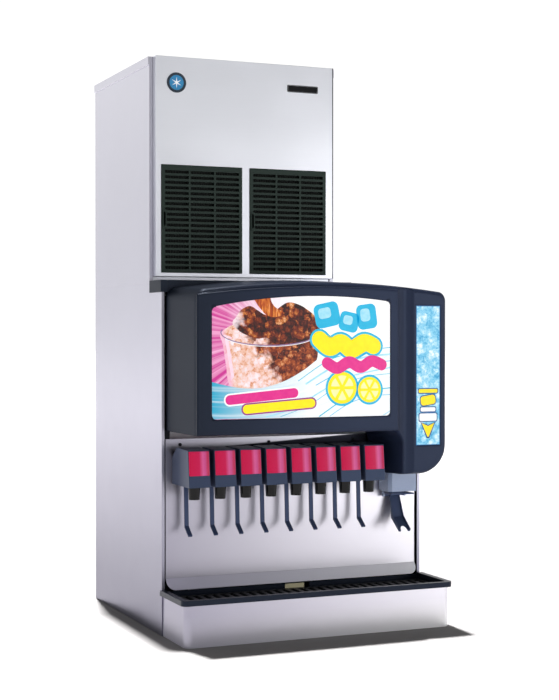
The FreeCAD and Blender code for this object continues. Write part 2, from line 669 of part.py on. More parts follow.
def valve_body(index):
    """The flow block behind one cover, with two ears that hold the lever's pin."""
    x = valve_x(index)
    rear = d.splash_face
    block = box(x - d.body_half, x + d.body_half, d.body_front, rear, d.body_bottom, d.body_top)
    ears = []
    near = d.lever_half + d.lever_play
    for side in (x - near - d.ear, x + near):
        ears.append(box(side, side + d.ear, d.lever_pivot_y - d.ear_half,
                        d.lever_pivot_y + d.ear_half, d.lever_pivot_z - d.ear_half,
                        d.body_bottom + 1))
    neck = rod("Z", d.nozzle_tip_r, x, d.nozzle_y, d.cover_bottom + d.neck_lap,
               d.body_bottom - d.cover_bottom)
    bore = rod("X", d.lever_pin_r + d.pin_clear, x - near - d.ear - 1, d.lever_pivot_y,
               d.lever_pivot_z, 2 * (near + d.ear + 1))
    return cut(fuse([block, neck] + ears), [bore])


def valve_nozzle(index):
    x = valve_x(index)
    cone = doc.addObject("Part::Cone", "Nozzle")
    bind(cone, Radius1=d.nozzle_tip_r, Radius2=d.nozzle_top_r,
         Height=d.cover_bottom + d.neck_lap - d.nozzle_tip)
    place(cone, x, d.nozzle_y, d.nozzle_tip)
    recess = rod("Z", d.nozzle_recess_r, x, d.nozzle_y, d.nozzle_tip - 1, d.nozzle_recess + 1)
    return cut(cone, [recess])


def product_tube(index):
    """A tube from the cold plate up behind the splash panel to one valve."""
    x = valve_x(index)
    low = rod("Y", d.tube_r, x, d.tube_y, d.tube_low, d.header_front - d.tube_y)
    riser = rod("Z", d.tube_r, x, d.tube_y, d.tube_low, d.tube_high - d.tube_low)
    high = rod("Y", d.tube_r, x, d.splash_face, d.tube_high, d.tube_y - d.splash_face)
    bends = []
    for level in (d.tube_low, d.tube_high):
        ball = doc.addObject("Part::Sphere", "Elbow")
        bind(ball, Radius=d.tube_r)
        bends.append(place(ball, x, d.tube_y, level))
    return fuse([low, riser, high] + bends)


def make_valves():
    count = DIMS["valve_count"]
    for index in range(count):
        make_cover(index)
        make_lever(index)
    keep("valve_bodies", group([valve_body(index) for index in range(count)]))
    keep("valve_nozzles", group([valve_nozzle(index) for index in range(count)]))
    return keep("product_tubes", group([product_tube(index) for index in range(count)]))


# ---------------------------------------------------------------- ice bin and dispensing

def make_bin(tubes):
    wall = d.bin_wall
    tub = box(d.bin_left, d.bin_right, d.bin_front, d.bin_back, d.bin_bottom, d.bin_top)
    boss = box(d.throat_left - d.boss_wall, d.throat_right + d.boss_wall,
               d.cabinet_front, d.bin_front + 1, d.throat_bottom - d.boss_wall,
               d.throat_top + d.boss_wall)
    inside = box(d.bin_left + wall, d.bin_right - wall, d.bin_front + wall,
                 d.bin_back - wall, d.bin_floor, d.bin_top + 1)
    throat = box(d.throat_left, d.throat_right, d.cabinet_front - 1, d.bin_front + wall + 1,
                 d.throat_bottom, d.throat_top)
    bearing = rod("Y", d.shaft_r + d.pin_clear, d.agitator_x, d.bin_front - 1, d.agitator_z,
                  wall + 2)
    plate = box(d.bin_left + wall + d.plate_inset, d.bin_right - wall - d.plate_inset,
                d.bin_front + wall + d.plate_inset, d.bin_back - wall - d.plate_inset,
                d.bin_floor - d.plate_height, d.bin_floor)
    header = box(d.header_left, d.header_right, d.header_front,
                 d.bin_front + wall + d.plate_inset, d.tube_low - d.header_height / 2,
                 d.tube_low + d.header_height / 2)
    cold_plate = keep("cold_plate", fuse([plate, header]))
    keep("ice_bin", cut(fuse([tub, boss]), [inside, throat, bearing, cold_plate, tubes]))


def make_agitator():
    """A shaft with two four-armed spiders, joined by bars that lift the ice."""
    x = d.agitator_x
    z = d.agitator_z
    parts = [rod("Y", d.shaft_r, x, d.shaft_front, z, d.shaft_back - d.shaft_front)]
    half = d.arm_size / 2
    for start in (d.spider_front, d.spider_back):
        parts.append(rod("Y", d.hub_r, x, start, z, d.hub_length))
        end = start + d.arm_size
        parts.append(box(x - d.arm_reach, x + d.arm_reach, start, end, z - half, z + half))
        parts.append(box(x - half, x + half, start, end, z - d.arm_reach, z + d.arm_reach))
    span = d.spider_back - d.spider_front + d.arm_size
    reach = d.arm_reach - d.arm_size
    for step_x, step_z in ((1, 0), (-1, 0), (0, 1), (0, -1)):
        parts.append(rod("Y", half, x + step_x * reach, d.spider_front, z + step_z * reach,
                         span))
    keep("agitator", fuse(parts))


def make_agitator_motor():
    x = d.agitator_x
    z = d.agitator_z
    gearbox = box(x - d.gearbox_half, x + d.gearbox_half, d.gearbox_front, d.gearbox_back,
                  z - d.gearbox_half, z + d.gearbox_half)
    motor = rod("Y", d.motor_r, x, d.motor_front, z, d.gearbox_front - d.motor_front)
    bore = rod("Y", d.shaft_r + d.pin_clear, x, d.shaft_front - 1, z,
               d.gearbox_back - d.shaft_front + 2)
    keep("agitator_motor", cut(fuse([gearbox, motor]), [bore]))


def make_chute():
    """A square duct, open below, whose back is open at the bin's throat."""
    wall = d.chute_wall
    back = d.cabinet_front
    outside = [(d.chute_left, back), (d.chute_left, d.chute_front + d.chute_bevel),
               (d.chute_left + d.chute_bevel, d.chute_front), (d.chute_right, d.chute_front),
               (d.chute_right, back)]
    inside = [(d.chute_left + wall, back - wall),
              (d.chute_left + wall, d.chute_front + d.chute_bevel + wall / 2),
              (d.chute_left + d.chute_bevel + wall / 2, d.chute_front + wall),
              (d.chute_right - wall, d.chute_front + wall), (d.chute_right - wall, back - wall)]
    body = new_body()
    height = d.chute_top - d.chute_bottom
    pad(body, sketch(body, "XY_Plane", outside, d.chute_bottom), height)
    pocket(body, sketch(body, "XY_Plane", inside, d.chute_bottom), height - wall, True)
    throat = rectangle(d.chute_left + wall, d.chute_right - wall, d.chute_throat,
                       d.chute_top - wall)
    pocket(body, sketch(body, "XZ_Plane", throat, -back), wall, True)
    bore = rod("X", d.gate_pin_r + d.pin_clear, d.chute_left - 1, gate_pivot_y(), d.gate_pivot,
               d.chute_right - d.chute_left + 2)
    ears = []
    near = d.ice_hub_half + d.ice_ear_gap
    for left in (d.ice_centre - near - d.ice_ear, d.ice_centre + near):
        ears.append(box(left, left + d.ice_ear, back - d.ice_ear_depth, back,
                        d.ice_pivot_z - d.ice_ear_drop, d.chute_bottom + d.ice_ear))
    pin_bore = rod("X", d.lever_pin_r + d.pin_clear, d.chute_left, d.ice_pivot_y,
                   d.ice_pivot_z, d.chute_right - d.chute_left)
    keep("ice_chute", cut(fuse([body] + ears), [bore, pin_bore]))


def gate_pivot_y():
    return d.gate_face + d.gate_thick / 2 - d.gate_pin_inset


def make_gate():
    left = d.chute_left + d.chute_wall + d.gate_side_gap
    right = d.chute_right - d.chute_wall - d.gate_side_gap
    plate = box(left, right, d.gate_face, d.gate_face + d.gate_thick, d.gate_bottom,
                d.gate_top)
    hub = rod("X", d.gate_pin_r + 1, left, gate_pivot_y(), d.gate_pivot, right - left)
    web = box(left, right, d.gate_face, d.gate_face + d.gate_thick - 1, d.gate_top - 1,
              d.gate_pivot)
    pin = rod("X", d.gate_pin_r, d.chute_left, gate_pivot_y(), d.gate_pivot,
              d.chute_right - d.chute_left)
    keep("ice_gate", fuse([plate, hub, web, pin]))


def make_ice_lever():
    """A strap below the chute with a wide top plate and a forked foot."""
    thick = d.ice_thick
    x = d.ice_centre
    strap_points = [(d.ice_pivot_y - thick / 2, d.ice_pivot_z),
                    (d.ice_bend_y - thick / 2, d.ice_bend_z + thick / 2),
                    (d.ice_tip_y, d.ice_tip_z + thick / 2),
                    (d.ice_tip_y + thick / 2, d.ice_tip_z - thick / 2),
                    (d.ice_bend_y + thick / 2, d.ice_bend_z - thick / 2),
                    (d.ice_pivot_y + thick / 2, d.ice_pivot_z)]
    body = new_body()
    pad(body, sketch(body, "YZ_Plane", strap_points, x - d.ice_foot_half),
        2 * d.ice_foot_half)
    for sign in (-1, 1):
        taper = [(x + sign * d.ice_top_half, d.ice_pivot_z + thick),
                 (x + sign * d.ice_foot_half, d.ice_bend_z),
                 (x + sign * (d.ice_foot_half + 1), d.ice_pivot_z + thick)]
        pocket(body, sketch(body, "XZ_Plane", taper, -d.cabinet_front), -d.ice_tip_y, True)
        pocket(body, sketch(body, "XZ_Plane", taper, -d.cabinet_front), -d.ice_tip_y)
    notch_top = d.ice_tip_z + d.ice_notch_depth
    notch = [(x - d.ice_notch_half, d.ice_tip_z - thick), (x + d.ice_notch_half,
                                                          d.ice_tip_z - thick),
             (x + d.ice_notch_half, notch_top - d.ice_notch_half),
             (x - d.ice_notch_half, notch_top - d.ice_notch_half)]
    notch_sketch = sketch(body, "XZ_Plane", notch, -d.ice_pivot_y,
                          {2: d.ice_notch_half * ARC_SLACK})
    pocket(body, notch_sketch, -d.ice_tip_y, True)
    hub = rod("X", d.ice_hub_r, x - d.ice_hub_half, d.ice_pivot_y, d.ice_pivot_z,
              2 * d.ice_hub_half)
    plate_back = d.ice_pivot_y - d.ice_hub_r - d.ice_plate_gap
    plate = box(x - d.ice_plate_half, x + d.ice_plate_half, d.ice_plate_front, plate_back,
                d.ice_plate_z, d.ice_plate_z + thick)
    outlet = box(x - d.ice_outlet_half, x + d.ice_outlet_half,
                 d.ice_plate_front + d.ice_outlet_rim, plate_back - d.ice_outlet_rim,
                 d.ice_plate_z - 1, d.ice_plate_z + thick + 1)
    bridge = box(x - d.ice_hub_half, x + d.ice_hub_half, plate_back - thick, d.ice_pivot_y,
                 d.ice_pivot_z, d.ice_pivot_z + thick)
    reach = d.ice_hub_half + d.ice_ear + d.ice_ear_gap
    pin = rod("X", d.lever_pin_r, x - reach, d.ice_pivot_y, d.ice_pivot_z, 2 * reach)
    keep("ice_lever", fuse([body, hub, cut(plate, [outlet]), bridge, pin]))


# ---------------------------------------------------------------- merchandiser

def arc_radius(chord, rise):
    """Radius of an arc from its chord and its rise."""
    return chord * chord / (8 * rise) + rise / 2


def shell_outline(back, shrink):
    """The shell's outline seen from the front.  back is True at the cabinet, False at the
    face of the ice column; shrink moves every side in, for the hollow."""
    s = shrink
    if back:
        left, right, low = d.back_left + s, d.back_right - s, d.back_low + s
        left_top, right_top = d.back_left_top - s, d.back_right_top - s
        crown, column = d.back_crown + s, d.back_column + s
    else:
        left, right, low = d.step_left + s, d.step_right - s, d.step_low + s
        left_top, right_top = d.step_left_top - s, d.step_right_top - s
        crown, column = d.step_crown + s, d.step_column + s
    foot = d.column_low + s
    heel = d.heel_r - s
    points = [(left, low), (column - d.cove_r, low), (column, low - d.cove_r),
              (column, foot), (right - heel, foot), (right, foot + heel),
              (right, right_top - d.temple_r), (right - d.temple_r, right_top),
              (crown, left_top + d.temple_r), (left, left_top - d.temple_r / 2)]
    chord = right - d.temple_r - crown
    arcs = {1: -(d.cove_r * ARC_SLACK), 4: heel * ARC_SLACK, 6: d.temple_r * ARC_SLACK,
            7: arc_radius(chord, d.crown_rise), 8: d.shoulder_r}
    return points, arcs


def face_outline(front, shrink):
    """The raised main face: its root on the column's plane, or its own front edge."""
    if front:
        left, right, low = d.face_left, d.face_right, d.face_low
        left_top, right_top = d.face_left_top, d.face_right_top
    else:
        left, right, low = d.step_left, d.root_right, d.step_low
        left_top, right_top = d.root_left_top, d.root_right_top
    left = left + shrink
    right = right - shrink
    points = [(left, low + shrink), (right, low + shrink), (right, right_top - shrink),
              (left, left_top - shrink)]
    return points, {2: arc_radius(right - left, d.face_rise)}


def loft(body, kind, first, second):
    feature = body.newObject("PartDesign::" + kind, "Loft")
    feature.Profile = first
    feature.Sections = [second]
    feature.Ruled = True
    return feature


def lofted(outline_of, *sections):
    """Straight lofts through sections, each a level along Y, the outline's flag and its inset."""
    bodies = []
    for pair in zip(sections, sections[1:]):
        body = new_body()
        made = []
        for level, flag, inset in pair:
            points, arcs = outline_of(flag, inset)
            made.append(sketch(body, "XZ_Plane", points, -level, arcs))
        loft(body, "AdditiveLoft", made[0], made[1])
        bodies.append(body)
    return bodies


def sign_outline(grow):
    left = d.sign_left - grow
    right = d.sign_right + grow
    bottom = d.sign_bottom - grow
    top = d.sign_top + grow
    points = [(left, bottom), (right, bottom), (right, top + d.sign_slope), (left, top)]
    return points, {2: arc_radius(right - left, d.sign_rise)}


def make_merchandiser():
    """A hollow moulding with a raised main face and an ice column, open at the back."""
    none = as_dim(0.0)
    wall = d.shell_wall
    outer = fuse(lofted(shell_outline, (d.shell_back, True, none), (d.shell_edge, False, none),
                        (d.shell_turn, False, d.edge_turn), (d.shell_step, False, d.edge_inset))
                 + lofted(face_outline, (d.shell_step + 1, False, none),
                          (d.face_edge, True, none), (d.shell_face, True, d.face_inset)))
    hollows = lofted(shell_outline, (d.shell_back + 1, True, wall),
                     (d.hollow_front, False, d.hollow_inset))
    hollows += lofted(face_outline, (d.hollow_front + 1, False, 2 * wall),
                      (d.shell_face + wall, True, 2 * wall))
    points, arcs = sign_outline(none)
    window = extruded("XZ_Plane", points, -d.shell_face - wall - 1, wall + 2, False, arcs)
    ice_window = box(d.ice_sign_left, d.ice_sign_right, d.shell_step - 1, d.hollow_front + 1,
                     d.ice_sign_bottom, d.ice_sign_top)
    groove = rod("Z", d.groove_r, d.groove_x,
                 d.shell_step + d.groove_depth - d.groove_r, d.column_low - 1,
                 d.shell_height)
    outlet = box(d.chute_left - wall, d.chute_right + wall, d.chute_front - wall,
                 d.shell_back + 1, d.column_low - 1, d.column_low + d.outlet_height)
    keep("merchandiser", cut(outer, hollows + [window, ice_window, groove, outlet]))


def make_signs():
    wall = d.shell_wall
    gap = d.sign_gap
    points, arcs = sign_outline(-gap)
    main = extruded("XZ_Plane", points, -d.shell_face - wall, d.sign_thick, False, arcs)
    keep("main_sign", main)
    front = d.shell_step + d.ice_sign_recess
    keep("ice_sign", box(d.ice_sign_left + gap, d.ice_sign_right - gap, front,
                         front + d.sign_thick, d.ice_sign_bottom + gap, d.ice_sign_top - gap))
    lamps = []
    for step in range(2):
        lamps.append(rod("X", d.lamp_r, d.sign_left + d.lamp_margin, d.lamp_y,
                         d.lamp_low + step * d.lamp_pitch,
                         d.sign_right - d.sign_left - 2 * d.lamp_margin))
    lamps.append(rod("Z", d.lamp_r, (d.ice_sign_left + d.ice_sign_right) / 2, d.lamp_y,
                     d.ice_sign_bottom + d.lamp_margin,
                     d.ice_sign_top - d.ice_sign_bottom - 2 * d.lamp_margin))
    keep("sign_lamps", group(lamps))


# ---------------------------------------------------------------- ice maker

def make_maker_case():
    top = d.maker_top - d.sheet
    side_bottom = d.cabinet_top
    keep("icemaker_side_left", folded_side(d.maker_left, -1, d.maker_front, d.cabinet_back,
                                           side_bottom, top, d.maker_flange))
    keep("icemaker_side_right", folded_side(d.maker_right, 1, d.maker_front, d.cabinet_back,
                                            side_bottom, top, d.maker_flange))
    left = d.maker_left + d.sheet
    right = d.maker_right - d.sheet
    rear = d.cabinet_back - d.rear_inset
    keep("icemaker_rear_panel", box(left, right, rear, rear + d.sheet, d.cabinet_top, top))
    lid = box(d.maker_left - d.maker_lap, d.maker_right + d.maker_lap, d.maker_front,
              d.cabinet_back, d.maker_top - d.maker_skirt, d.maker_top)
    under = box(d.maker_left, d.maker_right, d.maker_front - 1, d.cabinet_back + 1,
                d.maker_top - d.maker_skirt - 1, top)
    keep("icemaker_lid", cut(lid, [under]))
    base = open_box(left, right, d.maker_front + d.sheet, rear, d.cabinet_top,
                    d.maker_base_top, d.sheet)
    drop = box(*drop_edges(d.drop_gap), d.cabinet_top - 1, d.maker_base_top)
    keep("icemaker_base", cut(base, [drop]))


def grille_edges():
    """Left and right edges of the two air openings."""
    return {"air_grille_left": (d.grille_left_x, d.grille_left_x + d.grille_left_w),
            "air_grille_right": (d.grille_right_x, d.grille_right_x + d.grille_right_w)}


def make_front_panel():
    """A pan with its rim turned back and two air openings."""
    left = d.maker_left + d.panel_inset
    right = d.maker_right - d.panel_inset
    outside = box(left, right, d.panel_face, d.panel_back, d.maker_base_top, d.maker_top)
    inside = box(left + d.sheet, right - d.sheet, d.panel_face + d.sheet, d.panel_back + 1,
                 d.maker_base_top + d.sheet, d.maker_top - d.sheet)
    openings = []
    for low, high in grille_edges().values():
        openings.append(box(low, high, d.panel_face - 1, d.panel_face + d.sheet + 1,
                            d.grille_bottom, d.grille_top))
    keep("icemaker_front_panel", cut(outside, [inside] + openings))


def make_grille(label, low, high):
    """A framed grille: three columns of slots, one slot repeated up and across."""
    left = low + d.grille_gap
    right = high - d.grille_gap
    bottom = d.grille_bottom + d.grille_gap
    top = d.grille_top - d.grille_gap
    face = -d.panel_face + d.grille_proud
    body = new_body()
    pad(body, sketch(body, "XZ_Plane", rectangle(left, right, bottom, top),
                     face - d.grille_thick), d.grille_thick)
    span = right - left - 2 * d.grille_frame
    slot_width = (span - (d.grille_columns - 1) * d.rib) / d.grille_columns
    start = left + d.grille_frame
    first = bottom + d.grille_frame
    slot = sketch(body, "XZ_Plane",
                  rectangle(start, start + slot_width, first, first + d.louvre_slot), face)
    cutter = pocket(body, slot, d.grille_thick)
    pattern = body.newObject("PartDesign::MultiTransform", "Grid")
    pattern.Originals = [cutter]
    across = step_pattern(body, "X_Axis", (d.grille_columns - 1) * (slot_width + d.rib),
                          DIMS["grille_columns"])
    up = step_pattern(body, "Z_Axis", d.louvre_pitch * (d.louvres - 1), DIMS["louvres"])
    pattern.Transformations = [across, up]
    body.Tip = pattern
    keep(label, body)


def step_pattern(body, axis, length, count):
    step = body.newObject("PartDesign::LinearPattern", "Step")
    step.Direction = (origin_plane(body, axis), [""])
    bind(step, Length=length)
    step.Occurrences = count
    return step


def make_condenser():
    frame = box(d.coil_left, d.coil_right, d.coil_front, d.coil_back, d.coil_bottom,
                d.coil_top)
    tubes = []
    pitch = (d.coil_top - d.coil_bottom) / d.coil_tubes
    for step in range(DIMS["coil_tubes"]):
        tubes.append(rod("X", d.tube_r, d.coil_left - d.coil_end,
                         (d.coil_front + d.coil_back) / 2,
                         d.coil_bottom + pitch / 2 + step * pitch,
                         d.coil_right - d.coil_left + 2 * d.coil_end))
    keep("condenser", fuse([frame] + tubes))


def make_fan():
    """Four pitched blades on a hub, a quarter turn apart, on the motor's shaft."""
    x = d.fan_x
    z = d.fan_z
    hub = rod("Y", d.fan_hub_r, x, d.fan_front, z, d.fan_depth)
    blades = []
    for angle in (0, 90, 180, 270):
        blade = doc.addObject("Part::Box", "Blade")
        spin = FreeCAD.Rotation(FreeCAD.Vector(0, 1, 0), angle)
        pitch = FreeCAD.Rotation(FreeCAD.Vector(1, 0, 0), DIMS["blade_pitch"])
        lean = pitch.multVec(FreeCAD.Vector(0, DIMS["blade_thick"], DIMS["blade_chord"]))
        offset = FreeCAD.Vector(DIMS["fan_hub_r"] - DIMS["blade_root"],
                                (DIMS["fan_depth"] - lean.y) / 2, -lean.z / 2)
        blade.Placement = FreeCAD.Placement(spin.multVec(offset), spin.multiply(pitch))
        bind(blade, Length=d.fan_r - d.fan_hub_r, Width=d.blade_thick, Height=d.blade_chord)
        shift = blade.Placement.Base
        place(blade, x + shift.x, d.fan_front + shift.y, z + shift.z)
        blades.append(blade)
    bore = rod("Y", d.fan_shaft_r + d.pin_clear, x, d.fan_front - 1, z, d.fan_depth + 2)
    keep("fan_blade", cut(fuse([hub] + blades), [bore]))
    back = d.fan_front + d.fan_depth + d.fan_gap
    motor = rod("Y", d.fan_motor_r, x, back, z, d.fan_motor_length)
    shaft = rod("Y", d.fan_shaft_r, x, d.fan_front, z, d.fan_depth + d.fan_gap + 1)
    foot = box(x - d.fan_foot / 2, x + d.fan_foot / 2, back + d.fan_foot_start, back + d.fan_foot,
               d.cabinet_top + d.sheet, z)
    keep("fan_motor", fuse([motor, shaft, foot]))


def make_compressor():
    shell = rod("Z", d.compressor_r, d.compressor_x, d.compressor_y, d.compressor_bottom,
                d.compressor_height)
    parts = [shell]
    reach = d.compressor_foot_reach
    for step_x, step_y in ((1, 1), (1, -1), (-1, 1), (-1, -1)):
        parts.append(rod("Z", d.compressor_foot_r, d.compressor_x + step_x * reach,
                         d.compressor_y + step_y * reach, d.cabinet_top + d.sheet,
                         d.compressor_bottom - d.cabinet_top + d.compressor_foot_lap))
    keep("compressor", fuse(parts))


def make_evaporator():
    x = d.barrel_x
    y = d.barrel_y
    barrel = rod("Z", d.barrel_r, x, y, d.barrel_bottom, d.barrel_top - d.barrel_bottom)
    bore = rod("Z", d.barrel_bore, x, y, d.barrel_bottom - 1,
               d.barrel_top - d.barrel_bottom + 2)
    keep("evaporator", cut(barrel, [bore]))
    gearbox = box(x - d.gear_half, x + d.gear_half, y - d.gear_half, y + d.gear_half,
                  d.cabinet_top + d.sheet, d.gear_top)
    motor = rod("Z", d.auger_motor_r, d.auger_motor_x, d.auger_motor_y,
                d.cabinet_top + d.sheet, d.auger_motor_top - d.cabinet_top - d.sheet)
    bridge = box(d.auger_motor_x, x, d.auger_motor_y - d.bridge_depth, y + d.gear_half - 1,
                 d.cabinet_top + d.sheet, d.gear_top - d.bridge_drop)
    socket = rod("Z", d.shaft_r + d.pin_clear, x, y, d.gear_top - d.socket_depth,
                 d.socket_depth + 1)
    keep("auger_motor", cut(fuse([gearbox, motor, bridge]), [socket]))


def make_auger():
    """A shaft with a helical flight, turned through the freezing cylinder."""
    x = d.barrel_x
    y = d.barrel_y
    bottom = DIMS["barrel_bottom"] + DIMS["auger_gap"]
    height = DIMS["barrel_top"] - bottom - 2 * DIMS["auger_gap"]
    core = rod("Z", d.auger_core, x, y, bottom, height)
    stub = rod("Z", d.shaft_r, x, y, d.gear_top + 1 - d.socket_depth,
               bottom - d.gear_top + d.socket_depth)
    path = Part.makeHelix(DIMS["auger_pitch"], height - DIMS["flight"], DIMS["auger_core"])
    path.translate(FreeCAD.Vector(0, 0, DIMS["flight"] / 2))
    inner = DIMS["auger_core"] - 2
    outer = DIMS["auger_r"]
    half = DIMS["flight"] / 2
    corners = [(inner, -half), (outer, -half), (outer, half), (inner, half), (inner, -half)]
    blade = Part.makePolygon([FreeCAD.Vector(u, 0, w + half) for u, w in corners])
    flight = doc.addObject("Part::Feature", "Flight")
    flight.Shape = Part.Wire(path).makePipeShell([blade], True, True)
    flight.Placement = FreeCAD.Placement(FreeCAD.Vector(DIMS["barrel_x"], DIMS["barrel_y"],
                                                        bottom), FreeCAD.Rotation())
    keep("auger", fuse([core, stub, flight]))


def make_spout():
    """A head over the freezing cylinder and a duct that drops the ice into the bin."""
    left, right, front, back = drop_edges(as_dim(0.0))
    wall = d.spout_wall
    head_bottom = d.barrel_top
    head_top = head_bottom + d.spout_head
    far = d.barrel_x + d.barrel_r
    duct = box(left, right, front, back, d.spout_bottom, head_top)
    head = box(left, far, front, back, head_bottom, head_top)
    inside = box(left + wall, right - wall, front + wall, back - wall, d.spout_bottom - 1,
                 head_top - wall)
    head_inside = box(left + wall, far - wall, front + wall, back - wall,
                      head_bottom + wall, head_top - wall)
    inlet = rod("Z", d.spout_depth - wall, d.barrel_x, d.barrel_y, head_bottom - 1, wall + 2)
    keep("ice_spout", cut(fuse([duct, head]), [inside, head_inside, inlet]))


# ---------------------------------------------------------------- all of it

def build():
    make_cabinet()
    make_top_deck()
    make_fill_lid()
    make_splash()
    make_screws()
    make_top_cap()
    make_fittings()
    make_tray()
    make_cup_rest()
    make_skirt()
    tubes = make_valves()
    make_bin(tubes)
    make_agitator()
    make_agitator_motor()
    make_chute()
    make_gate()
    make_ice_lever()
    make_merchandiser()
    make_signs()
    make_maker_case()
    make_front_panel()
    for label, (low, high) in grille_edges().items():
        make_grille(label, low, high)
    make_condenser()
    make_fan()
    make_compressor()
    make_evaporator()
    make_auger()
    make_spout()


def check_and_write():
    doc.recompute()
    failed = [item for item in doc.Objects if "Invalid" in item.State or "Error" in item.State]
    for item in failed:
        users = [user.Label for user in item.InList]
        print("failed:", item.Name, item.State, users)
    if failed:
        raise RuntimeError("%d objects failed" % len(failed))
    for node in nodes:
        shape = node.Shape
        if shape.isNull() or not shape.isValid() or shape.Volume <= 0:
            raise RuntimeError("bad shape: " + node.Label)
    os.makedirs("parts", exist_ok=True)
    for node in nodes:
        node.Shape.exportStep("parts/%s.step" % node.Label)
        print("%-24s %2d solids %10.1f cm3" % (node.Label, len(node.Shape.Solids),
                                               node.Shape.Volume / 1000))


build()
check_and_write()
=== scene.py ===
import json
import math

import bmesh
import bpy
from mathutils import Matrix, Vector

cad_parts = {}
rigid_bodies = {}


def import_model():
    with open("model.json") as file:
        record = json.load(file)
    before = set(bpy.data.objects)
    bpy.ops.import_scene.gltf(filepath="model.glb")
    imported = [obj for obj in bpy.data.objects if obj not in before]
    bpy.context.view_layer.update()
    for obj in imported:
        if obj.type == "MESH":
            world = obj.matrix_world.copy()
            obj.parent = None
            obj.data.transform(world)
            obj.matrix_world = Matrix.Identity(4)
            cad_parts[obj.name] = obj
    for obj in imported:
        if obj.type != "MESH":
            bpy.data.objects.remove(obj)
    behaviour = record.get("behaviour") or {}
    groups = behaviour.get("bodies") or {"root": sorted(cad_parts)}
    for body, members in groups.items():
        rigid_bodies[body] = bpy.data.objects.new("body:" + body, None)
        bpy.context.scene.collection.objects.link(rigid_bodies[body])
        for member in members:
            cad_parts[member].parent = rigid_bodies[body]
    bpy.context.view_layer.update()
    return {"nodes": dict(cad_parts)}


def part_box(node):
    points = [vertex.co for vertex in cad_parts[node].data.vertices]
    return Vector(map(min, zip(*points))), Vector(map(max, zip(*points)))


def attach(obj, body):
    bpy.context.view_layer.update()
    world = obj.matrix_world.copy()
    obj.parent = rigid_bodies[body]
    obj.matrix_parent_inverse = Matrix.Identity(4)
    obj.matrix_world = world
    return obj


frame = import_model()
NODES = frame["nodes"]
MM = 0.001  # outlines are drawn in millimetres, and everything else is in metres
VALVES = 8
SIGN_LOW, SIGN_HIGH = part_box("main_sign")
SIGN_X, SIGN_Z = SIGN_LOW.x, SIGN_LOW.z
SHEET_HALF = 0.38  # half the width across which the satin sheets' painted light grows from left to right
LABEL_HALF = 0.0275  # half the width of a valve's label


# ---------------------------------------------------------------- materials


class Paint:
    """A Principled material whose colour, roughness and normal come from a small procedural graph."""

    COLOUR_A, COLOUR_B, COLOUR_OUT = 6, 7, 2  # the Mix node's sockets for colours
    BEVEL_SAMPLES = 6

    def __init__(self, name, **sockets):
        self.material = bpy.data.materials.new(name)
        self.material.use_nodes = True
        self.tree = self.material.node_tree
        self.shader = self.tree.nodes["Principled BSDF"]
        for socket, value in sockets.items():
            self.shader.inputs[socket.replace("_", " ")].default_value = value
        self.place = self.node("ShaderNodeTexCoord").outputs["Object"]

    def node(self, kind, settings=(), **inputs):
        made = self.tree.nodes.new(kind)
        for key, value in dict(settings).items():
            setattr(made, key, value)
        for key, value in inputs.items():
            self.feed(made.inputs[key.replace("_", " ")], value)
        return made

    def feed(self, socket, value):
        if isinstance(value, bpy.types.NodeSocket):
            self.tree.links.new(value, socket)
        else:
            socket.default_value = value

    def scaled(self, scale):
        """The place, multiplied along X, Y and Z."""
        return self.node("ShaderNodeMapping", Vector=self.place, Scale=scale).outputs["Vector"]

    def noise(self, vector, scale=1.0, detail=3.0, roughness=0.55, distortion=0.0):
        made = self.node("ShaderNodeTexNoise", Vector=vector, Scale=scale, Detail=detail,
                         Roughness=roughness, Distortion=distortion)
        return made.outputs["Fac"]

    def spread(self, value, low, high, start=0.3, end=0.7):
        """low where the value is start or less, high where it is end or more, and even between them."""
        made = self.node("ShaderNodeMapRange", Value=value)
        for socket, number in zip(("From Min", "From Max", "To Min", "To Max"), (start, end, low, high)):
            made.inputs[socket].default_value = number
        return made.outputs["Result"]

    def math(self, operation, first, second=0.5):
        """One Math node; an operation on one number leaves the second alone."""
        made = self.node("ShaderNodeMath", {"operation": operation})
        self.feed(made.inputs[0], first)
        self.feed(made.inputs[1], second)
        return made.outputs["Value"]

    def axis(self, letter):
        return self.node("ShaderNodeSeparateXYZ", Vector=self.place).outputs[letter]

    def along(self, letter, start, end):
        """A share that grows from 0 at start to 1 at end of an axis."""
        return self.spread(self.axis(letter), 0, 1, start, end)

    def mix(self, share, first, second, blend="MIX"):
        made = self.node("ShaderNodeMix", {"data_type": "RGBA", "blend_type": blend})
        self.feed(made.inputs["Factor"], share)
        self.feed(made.inputs[self.COLOUR_A], first)
        self.feed(made.inputs[self.COLOUR_B], second)
        return made.outputs[self.COLOUR_OUT]

    def ramp(self, value, stops):
        """stops is a list of (position, hex sRGB code)."""
        made = self.node("ShaderNodeValToRGB", Fac=value)
        points = made.color_ramp.elements
        while len(points) < len(stops):
            points.new(0.5)
        for point, (position, code) in zip(points, stops):
            point.position = position
            point.color = rgb(code)
        return made.outputs["Color"]

    def bump(self, heights, round_edges=0.0):
        """heights is a list of (value, strength, depth in metres).
        round_edges is the radius that hard edges are shaded with."""
        normal = None
        if round_edges:
            bevel = self.node("ShaderNodeBevel", {"samples": self.BEVEL_SAMPLES}, Radius=round_edges)
            normal = bevel.outputs["Normal"]
        for value, strength, depth in heights:
            made = self.node("ShaderNodeBump", Height=value, Strength=strength, Distance=depth)
            if normal is not None:
                self.feed(made.inputs["Normal"], normal)
            normal = made.outputs["Normal"]
        self.feed(self.shader.inputs["Normal"], normal)

    def done(self, colour, rough=None):
        self.feed(self.shader.inputs["Base Color"], colour)
        if rough is not None:
            self.feed(self.shader.inputs["Roughness"], rough)
        return self.material


